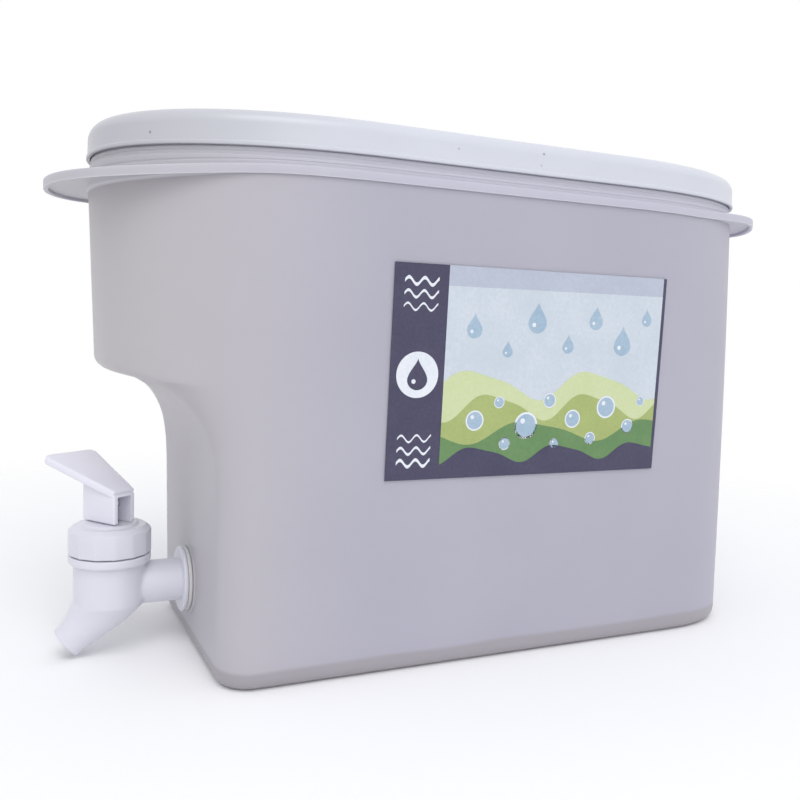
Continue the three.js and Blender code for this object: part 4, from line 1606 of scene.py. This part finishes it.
    def bonnet(self) -> None:
        """Builds the bonnet nut with its raised crown and soft grip flats round its side."""
        low, top, outer = self.bonnet_low, self.bonnet_top, self.bonnet_radius
        inner, clamp, roof, shoulder = self.neck_radius + 0.3, 42.1, 43.3, self.bonnet_top - 0.8
        profile = [
            (inner, 38, 0), (inner, low, 0.25), (outer, low, 0.3), (outer - 0.05, top - 2.4, 0.6),
            (outer - 1.9, shoulder, 0.7), (9.5, shoulder, 0.3), (8.7, top, 0.3), (3, top, 0.25),
            (3, roof, 0.15), (6.6, roof, 0.3), (6.6, clamp, 0.2), (inner, clamp, 0.2), (inner, 38, 0),
        ]
        piece = solid(lathe(profile, 128, 5), "bonnet_ring")
        corner = outer / math.cos(math.pi / self.bonnet_flats) - self.flat_depth
        flats = rod(corner, 2 * (top - low), self.bonnet_flats, Matrix.Translation((0, 0, top)))
        join(piece, soften(flats, 0.5, 15, 3), Joining.COMMON)
        move(piece, self.place)
        seat(piece, [self.finishes.tap], "root", "tap_plastic", "bonnet_nut")

    def seat_cup(self) -> None:
        """Builds the silicone cup that closes the seat with its floor and hangs by its rim."""
        cup = [
            (0, 16.7, 0), (3.9, 16.7, 0.5), (3.9, 17.9, 0.3), (5.6, 17.9, 0.4), (7.6, 19.9, 0.5),
            (7.6, 40.3, 0.3), (11.1, 40.3, 0.4), (11.1, 41.8, 0.4), (6.3, 41.8, 0.4), (6.3, 21.5, 0.6),
            (0, 21.5, 0),
        ]
        piece = solid(lathe(cup), "valve_cup", self.place)
        seat(piece, [self.finishes.silicone], "root", "silicone", "seat_cup")

    def stem(self) -> None:
        """Builds the lift stem with its foot, its rounded head and its two trunnions."""
        foot, foot_top, radius = 21.8, 23.8, 2.6
        shaft = [
            (0, foot, 0), (5.2, foot, 0.5), (5.2, foot_top, 0.4),
            (radius, foot_top, 0.4), (radius, self.pivot, 0),
        ]
        head = [(radius * cosine, self.pivot + radius * sine) for sine, cosine in quarter(8)[1:]]
        piece = solid(turned(rounded_path(shaft) + head, 64), "lift_stem")
        trunnions = rod(1.3, 7.3, 40, laid(self.pivot, "X"))
        join(piece, soften(trunnions, 0.25, segments=2), Joining.ADD)
        move(piece, self.turned_place)
        seat(piece, [self.finishes.tap], "stem_body", "tap_plastic", "stem")

    def spring(self) -> None:
        """Builds the return spring as one wire, closing up at both ends, at one length: the real spring
        shortens as the stem rises.
        """
        low, high, turns, coil, wire = 24.55, 42.55, 6, 4.1, 0.45
        data = bpy.data.curves.new("coil", "CURVE")
        data.dimensions = "3D"
        data.bevel_depth = wire * MM
        data.bevel_resolution = 3
        data.use_fill_caps = True
        count = turns * self.coil_steps
        line = data.splines.new("POLY")
        line.points.add(count)
        for index, point in enumerate(line.points):
            share = index / count
            rise = (share + float(smooth_share(share, 0, 1))) / 2
            turn = share * turns * 2 * math.pi
            spot = Vector((coil * math.cos(turn), coil * math.sin(turn), low + (high - low) * rise))
            point.co = (*(self.turned_place @ spot * MM), 1)
        source = linked("coil", data)
        piece = linked("return_coil", evaluated(source))
        bpy.data.objects.remove(source)
        shade(piece)
        piece.data.materials.append(self.finishes.steel)
        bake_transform(piece)
        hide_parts("return_spring")
        log.info("%s bends between spring_body and stem_body", piece.name)

    def lever(self) -> None:
        """Builds the lever: a column with a channel for the stem, and a paddle that widens to its tip."""
        rear, front, half, heel = 6.9, 8.3, 4.45, 1.2
        foot, root, tip, reach, tip_half, thickness = self.bonnet_top + 0.3, 56.8, 67.1, 20.6, 11.0, 2.8
        slope = math.atan2(tip - root, reach + rear)
        under = [root + (x + rear) * math.tan(slope) - thickness / 2 for x in (front, -rear)]
        rolled = [(front - heel * (1 - sine), foot + heel * (1 - cosine)) for sine, cosine in quarter(8)]
        column = prism([(-rear, foot), *rolled, (front, under[0]), (-rear, under[1])], 2 * half)
        piece = solid(soften(column, 0.55, 40), "push_lever")
        length = (reach + rear) / math.cos(slope)
        blade = [
            (0, 0, 0), (0, -half, 0.8), (length, -tip_half, 2.4),
            (length, tip_half, 2.4), (0, half, 0.8), (0, 0, 0),
        ]
        tilt = Matrix.Translation((-rear, 0, root)) @ Matrix.Rotation(-slope, 4, "Y")
        lay = tilt @ Matrix.Translation((0, 0, -thickness / 2)) @ Matrix.Rotation(-math.pi / 2, 4, "X")
        join(piece, soften(prism(rounded_path(blade, 8)[:-1], thickness), 0.95, 40, 6), Joining.ADD, lay)
        crown, slot_front, slot_half = 54.7, 6.3, 2.9
        size = Vector((rear + 4 + slot_front, 2 * slot_half, crown - foot + 4))
        middle = Vector((slot_front - size.x / 2, 0, crown - size.z / 2))
        slot = bmesh.new()
        bmesh.ops.create_cube(slot, size=1, matrix=Matrix.Translation(middle) @ Matrix.Diagonal((*size, 1)))
        join(piece, soften(slot, 0.5, 30, 3), Joining.CUT)
        join(piece, rod(1.55, 7.8, 48, laid(self.pivot, "X")), Joining.CUT)
        move(piece, self.turned_place)
        # the lever's finish is the tap's white drawn lighter, as painted light
        seat(piece, [self.finishes.lever], "lever_body", "tap_plastic", "lever")

    def build(self) -> None:
        """Builds the whole tap."""
        self.body()
        self.fastening()
        self.bonnet()
        self.seat_cup()
        self.stem()
        self.spring()
        self.lever()


# The studio


@dataclass
class Studio:
    """A pale floor, soft light all round and the photograph's camera."""

    camera_mm: Corner = (-156.173, -306.216, 114.888)
    yaw: float = 0.435
    pitch: float = -0.086
    roll: float = 0.033
    lens: float = 39.68
    sensor: float = 36.0
    world_level: float = 0.86
    floor_radius: float = 1600.0
    floor_fade: Pair = (160.0, 500.0)
    aim: Corner = (0, 0, 0.08)

    def camera(self) -> None:
        """Places the camera at the photograph's angle."""
        data = bpy.data.cameras.new("camera")
        data.lens, data.sensor_width, data.sensor_fit = self.lens, self.sensor, "AUTO"
        data.clip_start, data.clip_end = 0.01, 20
        level = math.cos(self.pitch)
        ahead = Vector((math.sin(self.yaw) * level, math.cos(self.yaw) * level, math.sin(self.pitch)))
        right = Vector((math.cos(self.yaw), -math.sin(self.yaw), 0))
        up = right.cross(ahead)
        tilted_right = right * math.cos(self.roll) + up * math.sin(self.roll)
        tilted_up = up * math.cos(self.roll) - right * math.sin(self.roll)
        turn = Matrix((tilted_right, tilted_up, -ahead)).transposed().to_4x4()
        rig = linked("camera", data)
        rig.matrix_world = Matrix.Translation(Vector(self.camera_mm) * MM) @ turn
        bpy.context.scene.camera = rig

    def world(self) -> None:
        """Lights the scene evenly and shows white behind it."""
        world = bpy.data.worlds.new("soft_white")
        world.use_nodes = True
        tree = world.node_tree
        tree.nodes.clear()
        rays = add_node(tree, "ShaderNodeLightPath").outputs
        shown = rays["Is Camera Ray"]
        for other in (rays["Is Glossy Ray"], rays["Is Transmission Ray"]):
            shown = add_node(tree, "ShaderNodeMath", {0: shown, 1: other}, operation="MAXIMUM").outputs[0]
        light, white = (
            add_node(tree, "ShaderNodeBackground", {"Color": colour, "Strength": level}).outputs[0]
            for colour, level in (("#F4F5FA", self.world_level), ("#FFFFFF", 1))
        )
        both = add_node(tree, "ShaderNodeMixShader", {0: shown, 1: light, 2: white})
        add_node(tree, "ShaderNodeOutputWorld", {"Surface": both.outputs[0]})
        bpy.context.scene.world = world

    def lamp(self, name: str, place: Corner, size: float, power: float) -> None:
        """Adds a soft square lamp that faces the jug.

        Args:
            name: its name.
            place: where it hangs, in metres.
            size: the length of its sides, in metres.
            power: its power in watts.
        """
        data = bpy.data.lights.new(name, "AREA")
        data.shape, data.size, data.energy = "SQUARE", size, power
        spot = Vector(place)
        aim = (Vector(self.aim) - spot).to_track_quat("-Z", "Y")
        linked(name, data).matrix_world = Matrix.Translation(spot) @ aim.to_matrix().to_4x4()

    def floor(self) -> None:
        """Lays a pale floor that fades out into the white around it and keeps the shadow."""
        mesh = bmesh.new()
        bmesh.ops.create_circle(mesh, cap_ends=True, segments=96, radius=self.floor_radius)
        floor = object_of(mesh, "floor")
        paint = Paint("pale_floor")
        away = paint.add("ShaderNodeVectorMath", {0: paint.place}, "Value", operation="LENGTH")
        cover = paint.add("ShaderNodeBsdfDiffuse", {"Color": "#FCFCFC"})
        clear = paint.add("ShaderNodeBsdfTransparent")
        fade = paint.ranged(away, (0, 1), (self.floor_fade[0] * MM, self.floor_fade[1] * MM), True)
        both = paint.add("ShaderNodeMixShader", {0: fade, 1: cover, 2: clear})
        floor.data.materials.append(paint.ended(both))

    def build(self) -> None:
        """Builds the studio."""
        self.camera()
        self.world()
        self.floor()
        self.lamp("key", (-0.3, -0.9, 1.3), 0.9, 8)
        self.lamp("fill", (-0.1, -1.5, 0.5), 0.9, 2.5)
        bpy.context.scene.view_settings.view_transform = "Standard"


def main() -> None:
    """Builds the jug and the studio."""
    logging.basicConfig(level=logging.INFO, format="%(message)s")
    finishes = Finishes.made()
    tank = Tank(finishes)
    tank.build()
    Lid(finishes, tank).build()
    Label(tank).build()
    Tap(finishes).build()
    Studio().build()


if __name__ == "__main__":
    main()
